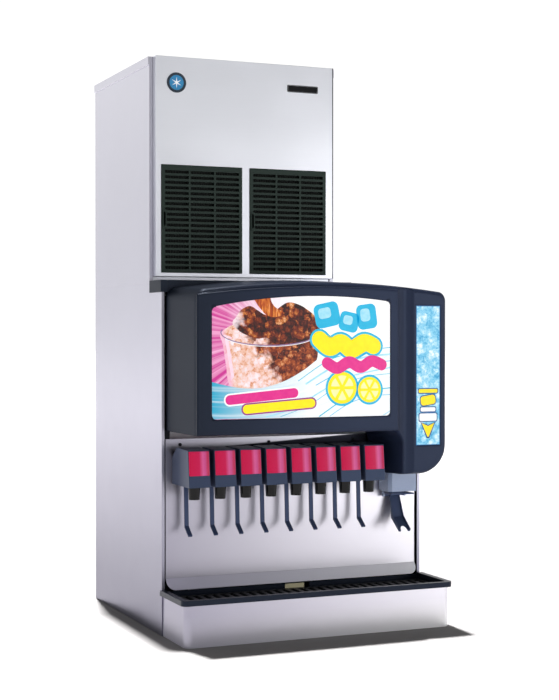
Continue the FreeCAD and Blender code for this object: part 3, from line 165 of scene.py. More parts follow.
def rgb(code, factor=1.0):
    """A linear colour from a hex sRGB code; factor lightens or darkens it."""
    parts = [int(code[i:i + 2], 16) / 255 for i in (0, 2, 4)]
    linear = [p / 12.92 if p <= 0.04045 else ((p + 0.055) / 1.055) ** 2.4 for p in parts]
    return (*[min(1.0, p * factor) for p in linear], 1.0)


def brushed(name, tone, grain, rough=(0.285, 0.32), wear=0.01, fades=(), satin_painted_light=None, painted_reflection_band=None):
    """Brushed sheet metal; grain is the scale along X, Y and Z, small along the brushing.
    rough is the range of the roughness, and wear how much the tone changes with the grain.
    Each of fades is (axis, start, end, tone) for painted light or shade: a tone that the sheet turns to
    along that axis.
    folded is (start, end, left tone, right tone) for sheet that turns satin downward, by height, its tone a
    painted light that grows lighter from left to right.
    mirrored is (left, low, high, rise, tone) for a painted reflection and shadow of dark pieces, a dark band
    whose top rises along X."""
    paint = Paint(name, Metallic=1.0)
    lines = paint.noise(paint.scaled(grain), detail=4.0, roughness=0.7)
    broad = paint.noise(paint.place, scale=2.2, detail=2.0)
    smudge = paint.noise(paint.place, scale=9.0, detail=5.0, distortion=0.6)
    colour = rgb(tone)
    # painted light and shade: the tone changes along an axis
    for letter, start, end, other in fades:
        colour = paint.mix(paint.along(letter, start, end), colour, rgb(other))
    if satin_painted_light:
        start, end, left, right = satin_painted_light
        # painted light: the satin part is lighter from left to right
        painted_satin_tone = paint.mix(paint.along("X", -SHEET_HALF, SHEET_HALF), rgb(left), rgb(right))
        above = paint.along("Z", start, end)
        colour = paint.mix(above, painted_satin_tone, colour)
        paint.feed(paint.shader.inputs["Metallic"], above)
    # painted reflection and shadow: a dark band on the steel
    if painted_reflection_band:
        left, low, high, rise, dark = painted_reflection_band
        soft_left, soft_low, soft_high = 0.01, 0.02, 0.003
        height = paint.math("SUBTRACT", paint.axis("Z"), paint.math("MULTIPLY", paint.axis("X"), rise))
        below = paint.spread(height, 1, 0, high, high + soft_high)
        band = paint.math("MULTIPLY", below, paint.along("Z", low, low + soft_low))
        band = paint.math("MULTIPLY", band, paint.along("X", left, left + soft_left))
        colour = paint.mix(band, colour, rgb(dark))
    light = paint.math("ADD", paint.spread(lines, 1 - wear, 1 + wear), paint.spread(broad, -0.015, 0.015))
    shade = paint.node("ShaderNodeCombineColor", Red=light, Green=light, Blue=light).outputs["Color"]
    colour = paint.mix(1.0, colour, shade, "MULTIPLY")
    roughness = paint.math("ADD", paint.spread(lines, *rough), paint.spread(smudge, -0.012, 0.018))
    paint.bump([(lines, 0.04, 0.00002)], round_edges=0.0016)
    return paint.done(colour, roughness)


def moulded(name, tone, rough=(0.38, 0.5), grain=1400.0, depth=0.00005, edge=0.0012, fade=None, **sockets):
    """Moulded plastic with a fine grain, grain being its scale and depth its depth in metres.
    edge is the radius that hard edges are shaded with; fade is (axis, start, end, tone) for painted light, a
    tone that the plastic turns to along that axis."""
    paint = Paint(name, **sockets)
    shift = 0.06
    fine = paint.noise(paint.place, scale=grain, detail=2.0)
    broad = paint.noise(paint.place, scale=6.0, detail=4.0)
    colour = paint.mix(paint.spread(broad, 0, 1), rgb(tone, 1 - shift), rgb(tone, 1 + shift))
    if fade:
        letter, start, end, other = fade
        colour = paint.mix(paint.along(letter, start, end), colour, rgb(other))
    roughness = paint.math("ADD", paint.spread(fine, *rough), paint.spread(broad, -0.03, 0.03))
    paint.bump([(fine, 0.35, depth)], round_edges=edge)
    return paint.done(colour, roughness)


def printed(name, colour_of):
    """A backlit print; colour_of takes the paint and gives its colour."""
    rough = 0.3
    paint = Paint(name, Roughness=rough, Emission_Strength=0.55, Specular_IOR_Level=0.3)
    colour = colour_of(paint)
    grain = paint.noise(paint.place, scale=900.0, detail=2.0)
    paint.bump([(grain, 0.1, 0.00003)])
    paint.feed(paint.shader.inputs["Emission Color"], colour)
    return paint.done(paint.mix(0.45, colour, rgb("000000")), paint.spread(grain, rough, rough + 0.08))


def flat_ink(code, other):
    """One ink, a little uneven."""
    def colour(paint):
        return paint.mix(paint.spread(paint.noise(paint.place, scale=60.0), 0, 1), rgb(code), rgb(other))
    return colour


def from_point(paint, x, z):
    """Distance and angle from a point of the sign's plane."""
    across = paint.math("SUBTRACT", paint.axis("X"), x)
    up = paint.math("SUBTRACT", paint.axis("Z"), z)
    square = paint.math("ADD", paint.math("MULTIPLY", across, across), paint.math("MULTIPLY", up, up))
    return paint.math("SQRT", square), paint.math("ARCTAN2", up, across)


def one_way(paint, value, scale, **settings):
    """Noise that changes only along one value."""
    vector = paint.node("ShaderNodeCombineXYZ", X=value).outputs["Vector"]
    return paint.noise(vector, scale=scale, **settings)


# Places in the main sign's prints are in metres from its lower left corner.


def backdrop_colour(paint):
    """Pink rays at the left that fade to white at the right."""
    _, angle = from_point(paint, SIGN_X + 0.170, SIGN_Z + 0.215)
    rays = one_way(paint, angle, 14.0, detail=5.0)
    pink = paint.mix(paint.spread(rays, 0, 1, 0.42, 0.62), rgb("cf2f92"), rgb("f7b9dc"))
    soft = paint.mix(paint.spread(rays, 0, 1, 0.35, 0.7), rgb("f3cfe4"), rgb("fdf3f8"))
    colour = paint.mix(paint.along("X", SIGN_X + 0.04, SIGN_X + 0.14), pink, soft)
    return paint.mix(paint.along("X", SIGN_X + 0.12, SIGN_X + 0.25), colour, rgb("fefefe"))


def sweep_colour(paint):
    """Cyan water at the left, white at the right, with teal lines that follow the curve."""
    distance, _ = from_point(paint, SIGN_X + 0.06, SIGN_Z + 0.80)
    lines = one_way(paint, distance, 60.0, detail=6.0, roughness=0.65)
    base = paint.mix(paint.along("X", SIGN_X, SIGN_X + 0.27), rgb("1fa9cc"), rgb("f4fbfd"))
    pale = paint.mix(paint.spread(lines, 0, 1, 0.5, 0.72), base, rgb("ffffff"))
    return paint.mix(paint.spread(lines, 0.95, 0, 0.30, 0.42), pale, rgb("35b2d6"))


def leaning(paint, lean):
    """The place along X of a line that leans to the left as it rises."""
    return paint.math("ADD", paint.axis("X"), paint.math("MULTIPLY", paint.axis("Z"), lean))


def lumps(paint, scale, share=0.5):
    """The shade of crushed ice, 0 to 1: one tone a lump, darker between lumps, broken up by finer noise.
    share is how much of the shade is the lumps' own tone."""
    wander = paint.node("ShaderNodeTexNoise", Vector=paint.place, Scale=scale * 1.6, Detail=4.0)
    vector = paint.mix(0.018, paint.place, wander.outputs["Color"])
    cells = paint.node("ShaderNodeTexVoronoi", Vector=vector, Scale=scale)
    tone = paint.node("ShaderNodeSeparateColor", Color=cells.outputs["Color"]).outputs["Red"]
    fine = paint.noise(paint.place, scale=scale * 2.4, detail=6.0, roughness=0.7, distortion=0.5)
    body = paint.math("ADD", paint.spread(tone, 0, share, 0.0, 1.0), paint.spread(fine, 0, 0.9 - share))
    return paint.math("SUBTRACT", body, paint.spread(cells.outputs["Distance"], -0.12, 0.16, 0.2, 0.75))


def drink_colour(paint):
    """Crushed ice: pale on the left, soaked with cola on the right."""
    shade = lumps(paint, 75.0)
    pale = paint.ramp(shade, [(0.05, "d88a63"), (0.3, "eebfa8"), (0.55, "f6d9d9"), (0.85, "fdf0f5")])
    cola = paint.ramp(shade, [(0.1, "2a0a06"), (0.35, "6d230f"), (0.6, "b2531f"), (0.9, "f0b67c")])
    cloud = paint.noise(paint.place, scale=30.0, detail=5.0, distortion=0.8)
    lean, wall_lean = 0.55, 0.17
    edge = SIGN_X + 0.135 + (SIGN_Z + 0.16) * lean
    side = paint.math("ADD", leaning(paint, lean), paint.spread(cloud, -0.04, 0.04))
    ice = paint.mix(paint.spread(side, 0, 1, edge, edge + 0.035), pale, cola)
    left = SIGN_X + 0.034 + (SIGN_Z + 0.19) * wall_lean
    wall = paint.spread(leaning(paint, wall_lean), 0.75, 0, left, left + 0.012)
    return paint.mix(wall, ice, rgb("f4b6d6"))


def mound_colour(paint):
    """Wet crushed ice above the rim: mostly cola, pale at the left end."""
    shade = lumps(paint, 62.0)
    cola = paint.ramp(shade, [(0.08, "160404"), (0.32, "4a1208"), (0.55, "8a3413"), (0.75, "cf7b35"),
                              (0.95, "fbe0bd")])
    cloud = paint.noise(paint.place, scale=30.0, detail=5.0)
    place = paint.math("ADD", paint.axis("X"), paint.spread(cloud, -0.02, 0.02))
    return paint.mix(paint.spread(place, 0, 1, SIGN_X + 0.058, SIGN_X + 0.08), rgb("f6e0e6"), cola)


def stream_colour(paint):
    """Poured cola, amber with bright streaks along the fall."""
    cloud = paint.noise(paint.scaled((110, 110, 20)), detail=5.0, distortion=1.2)
    return paint.ramp(cloud, [(0.3, "5c1604"), (0.45, "b4480e"), (0.58, "e88f35"), (0.68, "ffedd2")])


def ice_colour(paint):
    """Pale blue ice with a darker line round the edge."""
    shade = lumps(paint, 55.0, 0.35)
    colour = paint.ramp(shade, [(0.05, "2f9ccf"), (0.3, "74c6e8"), (0.55, "a9def2"), (0.8, "f2fcff")])
    line_width, line_soft = 0.0022, 0.0006
    low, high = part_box("ice_sign")
    for letter, start, end in (("X", low.x, high.x), ("Z", low.z, high.z)):
        middle = (start + end) / 2
        aside = paint.math("ABSOLUTE", paint.math("SUBTRACT", paint.axis(letter), middle))
        edge = end - middle - line_width
        colour = paint.mix(paint.spread(aside, 0, 1, edge, edge + line_soft), colour, rgb("1768a8"))
    return colour


def label_colour(paint):
    """Crimson, with a painted highlight: the soft bright line that a curved plate shows."""
    ends = [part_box(f"valve_cover_{number}") for number in (1, VALVES)]
    first, last = [(low.x + high.x) / 2 for low, high in ends]
    pitch = (last - first) / (VALVES - 1)
    half = LABEL_HALF - 0.0005  # the shade stops just inside the plate's edge
    wrapped = paint.node("ShaderNodeMath", {"operation": "WRAP"})
    paint.feed(wrapped.inputs[0], paint.axis("X"))
    paint.feed(wrapped.inputs[1], first + pitch / 2)
    paint.feed(wrapped.inputs[2], first - pitch / 2)
    across = paint.spread(wrapped.outputs["Value"], 0, 1, first - half, first + half)
    return paint.ramp(across, [(0.0, "d0124a"), (0.5, "cf1552"), (0.68, "da5a98"), (0.8, "cf4a8c"),
                               (0.92, "c3154f")])


UP = (900, 900, 5)  # the grain of sheet brushed upward, and across
ACROSS = (5, 900, 900)
DARK = {"Specular_Tint": (0.55, 0.68, 1.0, 1.0), "Specular_IOR_Level": 0.34}  # a bluish sheen

# painted shade: darker towards the bottom, lighter upwards
steel_side = brushed("brushed_side", "7f7e8e", UP,
                     fades=[("Z", 0.0, 0.28, "9897a7"), ("Z", 0.1, 1.5, "c9c8d2")])
# painted light: lighter from left to right, and the satin foot of the skirt is painted lighter, more so to
# the right
steel_front = brushed("brushed_front", "a2a0b0", ACROSS, fades=[("X", -0.40, 0.42, "e3e2ea")],
                      satin_painted_light=(-0.02, 0.08, "bdbbc9", "ffffff"))
# painted light: lighter from left to right; a painted reflection and shadow of the shell darkens the band
# above and between the valve covers; the satin lip is painted lighter, more so to the right
steel_splash = brushed("brushed_splash", "9f9dab", ACROSS, fades=[("X", -0.40, 0.45, "dedde4")],
                       painted_reflection_band=(-0.350, 0.400, 0.5025, 0.062, "1c1d24"),
                       satin_painted_light=(0.1475, 0.1515, "b9b6cb", "f8f8ff"))
painted_edge_shadow = [("X", 0.1450, 0.1456, "50505c"), ("X", 0.1480, 0.1486, "dfe1e8")]  # painted shadow of the ice maker's right edge: a dark line, then a lighter tone past it
# painted light: lighter towards the top
steel_maker = brushed("brushed_maker", "d3d5de", ACROSS, fades=[("Z", 1.02, 1.3, "edeff6")] + painted_edge_shadow)
steel_zinc = brushed("zinc_plate", "b4b6c0", (90, 90, 90), rough=(0.35, 0.55))
steel_tube = brushed("drawn_steel", "b5b8bd", (700, 700, 60), rough=(0.2, 0.32))
# black for the screws; on the frame posts, painted shade that darkens the gaps at the panels' ends
black_screws_and_gap_shade = brushed("black_steel_and_gap_shade", "1b1c20", (300, 300, 300), rough=(0.3, 0.45))
aluminium = brushed("cast_aluminium", "a9acb0", (160, 160, 160), rough=(0.4, 0.6), wear=0.1)
# painted light: lighter and bluer towards the right
shell = moulded("shell_plastic", "0b0f17", rough=(0.36, 0.46), edge=0.008,
                fade=("X", -0.36, 0.05, "1e2539"), **DARK)
cap = moulded("cap_plastic", "1a2230", rough=(0.5, 0.6), Specular_IOR_Level=0.2)
cover = moulded("cover_plastic", "343e55", rough=(0.35, 0.45), **DARK)
lever = moulded("lever_plastic", "3a4460", rough=(0.32, 0.42), **DARK)
nozzle = moulded("nozzle_plastic", "07080a", rough=(0.08, 0.14), grain=600.0, Specular_IOR_Level=0.24)
valve = moulded("valve_plastic", "23262c", rough=(0.35, 0.5))
binwall = moulded("bin_plastic", "d9dde0", rough=(0.4, 0.55))
motor = moulded("motor_paint", "22252a", rough=(0.35, 0.5), grain=500.0)
chute = moulded("chute_plastic", "8d9cba", rough=(0.15, 0.28), grain=300.0)
gate = moulded("gate_plastic", "5c6370", rough=(0.3, 0.4))
tray = moulded("tray_plastic", "10141d", rough=(0.3, 0.42), **DARK)
rest = moulded("rest_plastic", "0c0e11", rough=(0.35, 0.5))
grille = moulded("grille_plastic", "141b19", rough=(0.4, 0.52), Specular_Tint=(0.75, 1.0, 0.88, 1.0),
                 Specular_IOR_Level=0.35)
fittings = moulded("fitting_plastic", "2b2d31", rough=(0.35, 0.5))
coil = brushed("coil_fins", "322e2b", (600, 8, 60), rough=(0.3, 0.5), wear=0.2)
lamp = moulded("lamp_tube", "f1f5f8", rough=(0.2, 0.3))

LOOKS = [
    (steel_side, ["side_panel_left", "side_panel_right", "rear_panel", "top_deck", "fill_lid",
                  "icemaker_side_left", "icemaker_side_right", "icemaker_rear_panel", "icemaker_lid"]),
    (steel_front, ["tray_skirt"]),
    (steel_splash, ["splash_panel"]),
    (steel_maker, ["icemaker_front_panel", "icemaker_base"]),
    (steel_zinc, ["base_pan"]),
    (steel_tube, ["product_tubes", "evaporator", "auger", "agitator", "fan_blade"]),
    (black_screws_and_gap_shade, ["panel_screws", "frame_posts"]),
    (aluminium, ["cold_plate"]),
    (shell, ["merchandiser"]),
    (cap, ["top_cap"]),
    (cover, [f"valve_cover_{i}" for i in range(1, VALVES + 1)]),
    (lever, [f"valve_lever_{i}" for i in range(1, VALVES + 1)] + ["ice_lever"]),
    (nozzle, ["valve_nozzles"]),
    (valve, ["valve_bodies"]),
    (binwall, ["ice_bin", "ice_spout"]),
    (motor, ["agitator_motor", "auger_motor", "compressor", "fan_motor"]),
    (chute, ["ice_chute"]),
    (gate, ["ice_gate"]),
    (tray, ["drip_tray"]),
    (rest, ["cup_rest"]),
    (grille, ["air_grille_left", "air_grille_right"]),
    (fittings, ["service_fittings"]),
    (coil, ["condenser"]),
    (lamp, ["sign_lamps"]),
    (printed("sign_backdrop", backdrop_colour), ["main_sign"]),
    (printed("sign_ice", ice_colour), ["ice_sign"]),
]
for material, names in LOOKS:
    for name in names:
        for slot in NODES[name].material_slots:
            slot.material = material

# ---------------------------------------------------------------- pieces


def smooth(points, steps=8, closed=True):
    """A Catmull-Rom curve through the points, with a number of steps from each to the next."""
    count = len(points)
    curve = []
    for i in range(count if closed else count - 1):
        if closed:
            around = [points[(i + k) % count] for k in (-1, 0, 1, 2)]
        else:
            around = [points[min(max(i + k, 0), count - 1)] for k in (-1, 0, 1, 2)]
        a, b, c, e = [Vector(point) for point in around]
        for step in range(steps):
            t = step / steps
            curve.append(0.5 * (2 * b + (c - a) * t + (2 * a - 5 * b + 4 * c - e) * t * t
                                + (3 * b - a - 3 * c + e) * t * t * t))
    if not closed:
        curve.append(Vector(points[-1]))
    return curve


def oval(u, v, width, height, start=0.0, end=360.0, steps=40):
    """Points of an ellipse round (u, v), or of the arc between two angles in degrees."""
    first, turn = math.radians(start), math.radians(end - start)
    whole = end - start == 360
    angles = [first + turn * k / steps for k in range(steps if whole else steps + 1)]
    return [Vector((u + width * math.cos(angle), v + height * math.sin(angle))) for angle in angles]


def rounded(width, height, radius, u=0.0, v=0.0, steps=6):
    """A rectangle round (u, v) with rounded corners."""
    points = []
    for corner, (su, sv) in enumerate(((1, 1), (-1, 1), (-1, -1), (1, -1))):
        points += oval(u + su * (width / 2 - radius), v + sv * (height / 2 - radius), radius, radius,
                       corner * 90, corner * 90 + 90, steps)
    return points


def ribbon(points, width):
    """A strip along a smooth path, with rounded ends."""
    path = smooth(points, closed=False)
    left, right = [], []
    for k, point in enumerate(path):
        along = (path[min(k + 1, len(path) - 1)] - path[max(k - 1, 0)]).normalized()
        across = Vector((-along.y, along.x)) * width / 2
        left.append(point + across)
        right.append(point - across)
    ends = []
    for centre, first in ((path[-1], left[-1]), (path[0], right[0])):
        start = math.degrees(math.atan2(first.y - centre.y, first.x - centre.x))
        ends.append(oval(centre.x, centre.y, width / 2, width / 2, start, start - 180, 8)[1:-1])
    return left + ends[0] + right[::-1] + ends[1]


def turned(outline, angle, u, v):
    """An outline turned by an angle in degrees and moved to (u, v)."""
    swing = Matrix.Rotation(math.radians(angle), 2)
    return [swing @ Vector(point) + Vector((u, v)) for point in outline]


def join(build, first, second, closed=True):
    """Faces between two rows of the same number of points, which are loops when closed."""
    count = len(first)
    for k in range(count if closed else count - 1):
        after = (k + 1) % count
        build.faces.new((first[k], first[after], second[after], second[k]))


def piece_from(build, name, material, body="root"):
    """A piece that rides on a body; slot_name, which plate takes, is not used."""
    mesh = bpy.data.meshes.new(name)
    bmesh.ops.recalc_face_normals(build, faces=build.faces)
    build.to_mesh(mesh)
    build.free()
    mesh.materials.append(material)
    piece = bpy.data.objects.new(name, mesh)
    bpy.context.scene.collection.objects.link(piece)
    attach(piece, body)


def plate(name, outlines, back, thick, material, body="root", slot_name=None, u=0.0, v=0.0):
    """Plates in the XZ plane; outlines are in millimetres from (u, v), back and thick in metres."""
    build = bmesh.new()
    for outline in outlines:
        loop = [build.verts.new((u + p[0] * MM, back, v + p[1] * MM)) for p in outline]
        face = build.faces.new(loop)
        grown = bmesh.ops.extrude_face_region(build, geom=[face])
        moved = [item for item in grown["geom"] if isinstance(item, bmesh.types.BMVert)]
        bmesh.ops.translate(build, verts=moved, vec=(0, -thick, 0))
    piece_from(build, name, material, body)


def ring_plate(name, outer, inner, back, thick, material, u=0.0, v=0.0):
    """A frame between two outlines that have the same number of points, placed as for plate."""
    build = bmesh.new()
    loops = []
    for outline, depth in ((outer, back), (outer, back - thick), (inner, back - thick), (inner, back)):
        loops.append([build.verts.new((u + p[0] * MM, depth, v + p[1] * MM)) for p in outline])
    for first, second in zip(loops, loops[1:] + loops[:1]):
        join(build, first, second)
    piece_from(build, name, material)


def ink(name, *outlines, level, material):
    """One printed layer of the main sign; level counts the layers out from its face."""
    step = 0.0001
    plate("art_" + name, outlines, SIGN_LOW.y - (level - 1) * step, step, material,
          slot_name="main_sign_panel", u=SIGN_X, v=SIGN_Z)


def make_inks():
    """The main sign's plain inks, by name."""
    tones = {"white": ("ffffff", "f8fbfd"), "cyan": ("12b2de", "20b9e2"), "teal": ("3fb8d6", "63c9e0"),
             "pale": ("8fdaf0", "b5e8f6"), "yellow": ("fff000", "ffe800"), "pink": ("e0208a", "e8308f"),
             "plum": ("8a2a86", "a23a92"), "rim": ("6f4f86", "a98bb0"), "shine": ("f6cfe2", "fbe3ee"),
             "lemon": ("fff9b8", "fff6a0")}
    return {name: printed("print_" + name, flat_ink(*pair)) for name, pair in tones.items()}


def draw_drink(inks):
    """A glass of crushed ice with a mound over its rim and a stream poured in."""
    glass = smooth([(25, 222), (30, 190), (38, 140), (50, 84), (95, 78), (150, 82), (212, 100), (262, 128),
                    (292, 150), (296, 190), (299, 224), (240, 250), (160, 258), (80, 250)])
    mound = smooth([(56, 246), (66, 262), (80, 280), (104, 290), (124, 280), (146, 268), (168, 272),
                    (188, 288), (212, 300), (243, 294), (268, 280), (288, 264), (301, 240), (296, 214),
                    (270, 196), (240, 190), (206, 186), (178, 190), (152, 208), (124, 206), (98, 214),
                    (74, 226)])
    stream = smooth([(108, 326), (156, 330), (162, 306), (174, 288), (200, 272), (176, 262), (152, 266),
                     (136, 280), (122, 298)])
    shine = [ribbon([(40, 205), (47, 165), (56, 110)], 9), ribbon([(34, 214), (52, 208)], 5)]
    ink("glass", glass, level=1, material=printed("print_glass", drink_colour))
    ink("shine", *shine, level=2, material=inks["shine"])
    ink("mound", mound, level=3, material=printed("print_mound", mound_colour))
    ink("stream", stream, level=4, material=printed("print_stream", stream_colour))
    ink("rim", ribbon(oval(161, 222, 136.5, 33.5, 168, 372, 24), 2.6), level=5, material=inks["rim"])
    ink("rim_shine", ribbon(oval(161, 218, 133, 32, 200, 330, 20), 1.6), level=5, material=inks["white"])


def draw_sweep(inks):
    """A band of water across the foot of the sign, with streaks."""
    crest = smooth([(0, 96), (50, 84), (100, 78), (150, 81), (205, 98), (255, 124), (300, 154), (350, 172),
                    (420, 186), (507, 196)], closed=False)
    ink("sweep", crest + [Vector((507, 1)), Vector((0, 1))], level=6,
        material=printed("print_sweep", sweep_colour))
    streaks = [([(300, 2), (370, 44), (440, 66), (506, 74)], 3.0, "teal"),
               ([(330, 2), (390, 36), (450, 52), (506, 56)], 1.6, "cyan"),
               ([(240, 96), (330, 150), (420, 172), (506, 182)], 2.2, "teal"),
               ([(262, 88), (350, 136), (430, 156), (506, 164)], 4.5, "pale"),
               ([(290, 84), (370, 122), (440, 140), (506, 146)], 2.0, "cyan"),
               ([(150, 4), (230, 26), (310, 70), (390, 106), (506, 128)], 3.4, "pale"),
               ([(190, 4), (270, 32), (350, 78), (430, 104), (506, 112)], 1.6, "teal")]
    for number, (path, width, colour) in enumerate(streaks, 1):
        ink(f"streak_{number}", ribbon(path, width), level=7, material=inks[colour])


def draw_cubes(inks):
    """Ice cubes, each given as its block, its bright facet, and its angle and place."""
    cubes = [((72, 64, 16), (36, 28, 9, -6, 6), (12, 322, 268)),
             ((56, 52, 14), (27, 24, 8, -4, 4), (-12, 386, 250)),
             ((58, 66, 15), (28, 34, 9, -4, 5), (8, 438, 264))]
    blocks = [turned(rounded(*block), *where) for block, _, where in cubes]
    facets = [turned(rounded(*facet), *where) for _, facet, where in cubes]
    ink("cubes", *blocks, level=8, material=inks["cyan"])
    ink("facets", *facets, level=9, material=inks["pale"])


def draw_waves(inks):
    wave = [(300, 204), (330, 182), (362, 196), (394, 176), (428, 196), (458, 186)]
    low_wave = [(322, 142), (352, 128), (386, 144), (420, 130), (452, 146), (482, 136)]
    ink("wave_edge", ribbon(wave, 56), level=9, material=inks["cyan"])
    ink("wave", ribbon(wave, 44), level=10, material=inks["yellow"])
    ink("low_wave", ribbon(low_wave, 31), level=13, material=inks["pink"])


def draw_slices(inks):
    """Two lemon slices, each given as its place and radius."""
    slices = ((366, 76, 42), (446, 70, 34))
    segments, pith, outer, inner, peel = 6, 16, 0.78, 0.18, 6
    ink("slice_edges", *[oval(u, v, r + peel, r + peel) for u, v, r in slices], level=10,
        material=inks["cyan"])
    ink("slices", *[oval(u, v, r, r) for u, v, r in slices], level=11, material=inks["yellow"])
    wedges = []
    for u, v, r in slices:
        for k in range(segments):
            start = 360 * k / segments + pith / 2
            end = start + 360 / segments - pith
            middle = math.radians((start + end) / 2)
            point = Vector((u + r * inner * math.cos(middle), v + r * inner * math.sin(middle)))
            wedges.append([point] + oval(u, v, r * outer, r * outer, start, end, 6))
    ink("segments", *wedges, level=12, material=inks["lemon"])


def draw_bars(inks):
    """Two slanted blank bars, each over a wider one that edges it."""
    length, edge = 204, 8
    for name, angle, u, v, height, radius, level, colour, edge_colour in (
            ("band", 5, 138, 57, 25, 12, 9, "pink", "white"),
            ("low_band", 4, 186, 31, 23, 11, 11, "yellow", "plum")):
        rim = turned(rounded(length + edge, height + edge, radius + edge / 2), angle, u, v)
        ink(name + "_edge", rim, level=level - 1, material=inks[edge_colour])
        ink(name, turned(rounded(length, height, radius), angle, u, v), level=level, material=inks[colour])


def make_sign_art():
    """The main sign's print, in shapes that stand in for its words."""
    inks = make_inks()
    for draw in (draw_drink, draw_sweep, draw_cubes, draw_waves, draw_slices, draw_bars):
        draw(inks)


def make_sign_corners():
    """Rounded corners of the sign's window, in the shell's plastic."""
    radius, overlap, top_overlap = 11.0, 0.4, 6.0
    width = (SIGN_HIGH.x - SIGN_LOW.x) / MM
    right_height, left_height = 305, 287  # the window's top slopes
    corners = []
    for u, v, start in ((0, 0, 180), (width, 0, 270), (width, right_height, 0), (0, left_height, 90)):
        turn = math.radians(start + 45)
        side_u, side_v = math.copysign(1, math.cos(turn)), math.copysign(1, math.sin(turn))
        centre_u, centre_v = u - side_u * radius, v - side_v * radius
        edge_u = u + side_u * overlap
        edge_v = v + side_v * (top_overlap if v else overlap)
        outer = [Vector((edge_u, centre_v)), Vector((edge_u, edge_v)), Vector((centre_u, edge_v))]
        arc = oval(centre_u, centre_v, radius, radius, start, start + 90, 8)
        corners.append(arc + (outer[::-1] if start in (0, 180) else outer))
    plate("sign_corners", corners, SIGN_LOW.y, 0.0014, shell, slot_name="shell_plastic", u=SIGN_X, v=SIGN_Z)


def make_ice_sign_art():
    """The ice sign's print: blank bars over an arrow that points down, each with a navy edge."""
    low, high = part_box("ice_sign")
    centre = (low.x + high.x) / 2
    width = (high.x - low.x) / MM
    yellow = printed("ice_yellow", flat_ink("ffe900", "ffdf00"))
    white = printed("ice_white", flat_ink("ffffff", "f1f8ff"))
    navy = printed("ice_navy", flat_ink("123a78", "17478c"))
    step = 0.0002

    def layer(name, outlines, level, material):
        plate("ice_art_" + name, outlines, low.y - (level - 1) * step, step, material,
              slot_name="ice_sign_panel", u=centre)

    top_bar = (width * 0.78, 10, 636)
    low_bars = [(width * 0.62, 11, 586), (width * 0.72, 20, 565)]
    edge = 5
    block_width, block_height, block_turn, block_v = 45, 25, 8, 611
    arrow_edge = [(-23, 552), (0, 544), (23, 552), (4, 508), (-4, 508)]
    arrow = [(-19, 549), (0, 541), (19, 549), (2, 512), (-2, 512)]
    edges = [rounded(w + edge, h + edge, 5, 0, v) for w, h, v in [top_bar] + low_bars]
    block_edge = turned(rounded(block_width + edge, block_height + edge, 10), block_turn, 0, block_v)
    block = turned(rounded(block_width, block_height, 8), block_turn, 0, block_v)
    layer("edges", edges + [block_edge, arrow_edge], 1, navy)
    w, h, v = top_bar
    layer("yellow", [rounded(w, h, 3, 0, v), block, arrow], 2, yellow)
    layer("white", [rounded(w, h, 4, 0, v) for w, h, v in low_bars], 2, white)


def make_labels():
    """A curved crimson plate on each valve cover's sloping front."""
    crimson = Paint("label_plastic", Roughness=0.3, Specular_IOR_Level=0.2)
    grain = crimson.noise(crimson.place, scale=300.0)
    crimson.bump([(grain, 0.1, 0.00003)], round_edges=0.001)
    material = crimson.done(label_colour(crimson), crimson.spread(grain, 0.26, 0.36))
    low, high, corner = 0.4285, 0.4905, 0.0015
    gap, thick, bulge = 0.00005, 0.0008, 0.0020
    lean = 10 / 95  # how far the cover's front goes back as it rises
    columns = 12
    for index in range(1, VALVES + 1):
        cover_low, cover_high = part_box(f"valve_cover_{index}")
        centre = (cover_low.x + cover_high.x) / 2
        build = bmesh.new()
        grids = []
        for lift in (0.0, 1.0):
            grid = []
            for z in (low, low + corner, (low + high) / 2, high - corner, high):
                back = cover_low.y + (z - cover_low.z) * lean - gap
                half = LABEL_HALF - (corner if z in (low, high) else 0.0)
                row = []
                for k in range(columns + 1):
                    across = 2 * k / columns - 1
                    out = lift * (thick + bulge * (1 - across * across))
                    row.append(build.verts.new((centre + across * half, back - out, z)))
                grid.append(row)
            grids.append(grid)
        for grid in grids:
            for first, second in zip(grid, grid[1:]):
                join(build, first, second, closed=False)
        borders = []
        for grid in grids:
            right, left = [row[-1] for row in grid[1:]], [row[0] for row in grid[-2:0:-1]]
            borders.append(grid[0] + right + grid[-1][-2::-1] + left)
        join(build, *borders)
        piece_from(build, f"valve_label_{index}", material)


def make_badges():
    """A round badge with a star, and a blank nameplate, on the ice maker's front."""
    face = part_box("icemaker_front_panel")[0].y
    navy = moulded("badge_dark", "1c2a38", rough=(0.25, 0.35), grain=500.0)
    blue = moulded("badge_blue", "2a7fb0", rough=(0.25, 0.35), grain=500.0)
    black = moulded("plate_black", "0c0d0f", rough=(0.2, 0.3), grain=700.0, Specular_IOR_Level=0.2)
    silver = moulded("plate_silver", "a7a9ad", rough=(0.2, 0.3), grain=700.0, Metallic=1.0)
    white = moulded("badge_white", "eef3f6", rough=(0.25, 0.35), grain=500.0)
    badge = {"u": -0.313, "v": 1.461}
    radius, hole, arm, notch = 27, 20, 15, 3.5
    disc = hole + 0.2
    ring_plate("badge_ring", oval(0, 0, radius, radius), oval(0, 0, hole, hole), face, 0.0016, navy, **badge)
    plate("badge_disc", [oval(0, 0, disc, disc)], face, 0.0011, blue, **badge)
    star = []
    for k in range(12):
        star += turned([(0, notch if k % 2 else arm)], 30 * k, 0, 0)
    plate("badge_star", [star], face - 0.0010, 0.0006, white, **badge)
    nameplate = {"u": 0.055, "v": 1.466}
    plate("nameplate", [rounded(92, 20, 2.5)], face, 0.0012, black, **nameplate)
    ring_plate("nameplate_rim", rounded(90, 18, 2.0), rounded(88, 16, 1.5), face - 0.0011, 0.0004, silver,
               **nameplate)


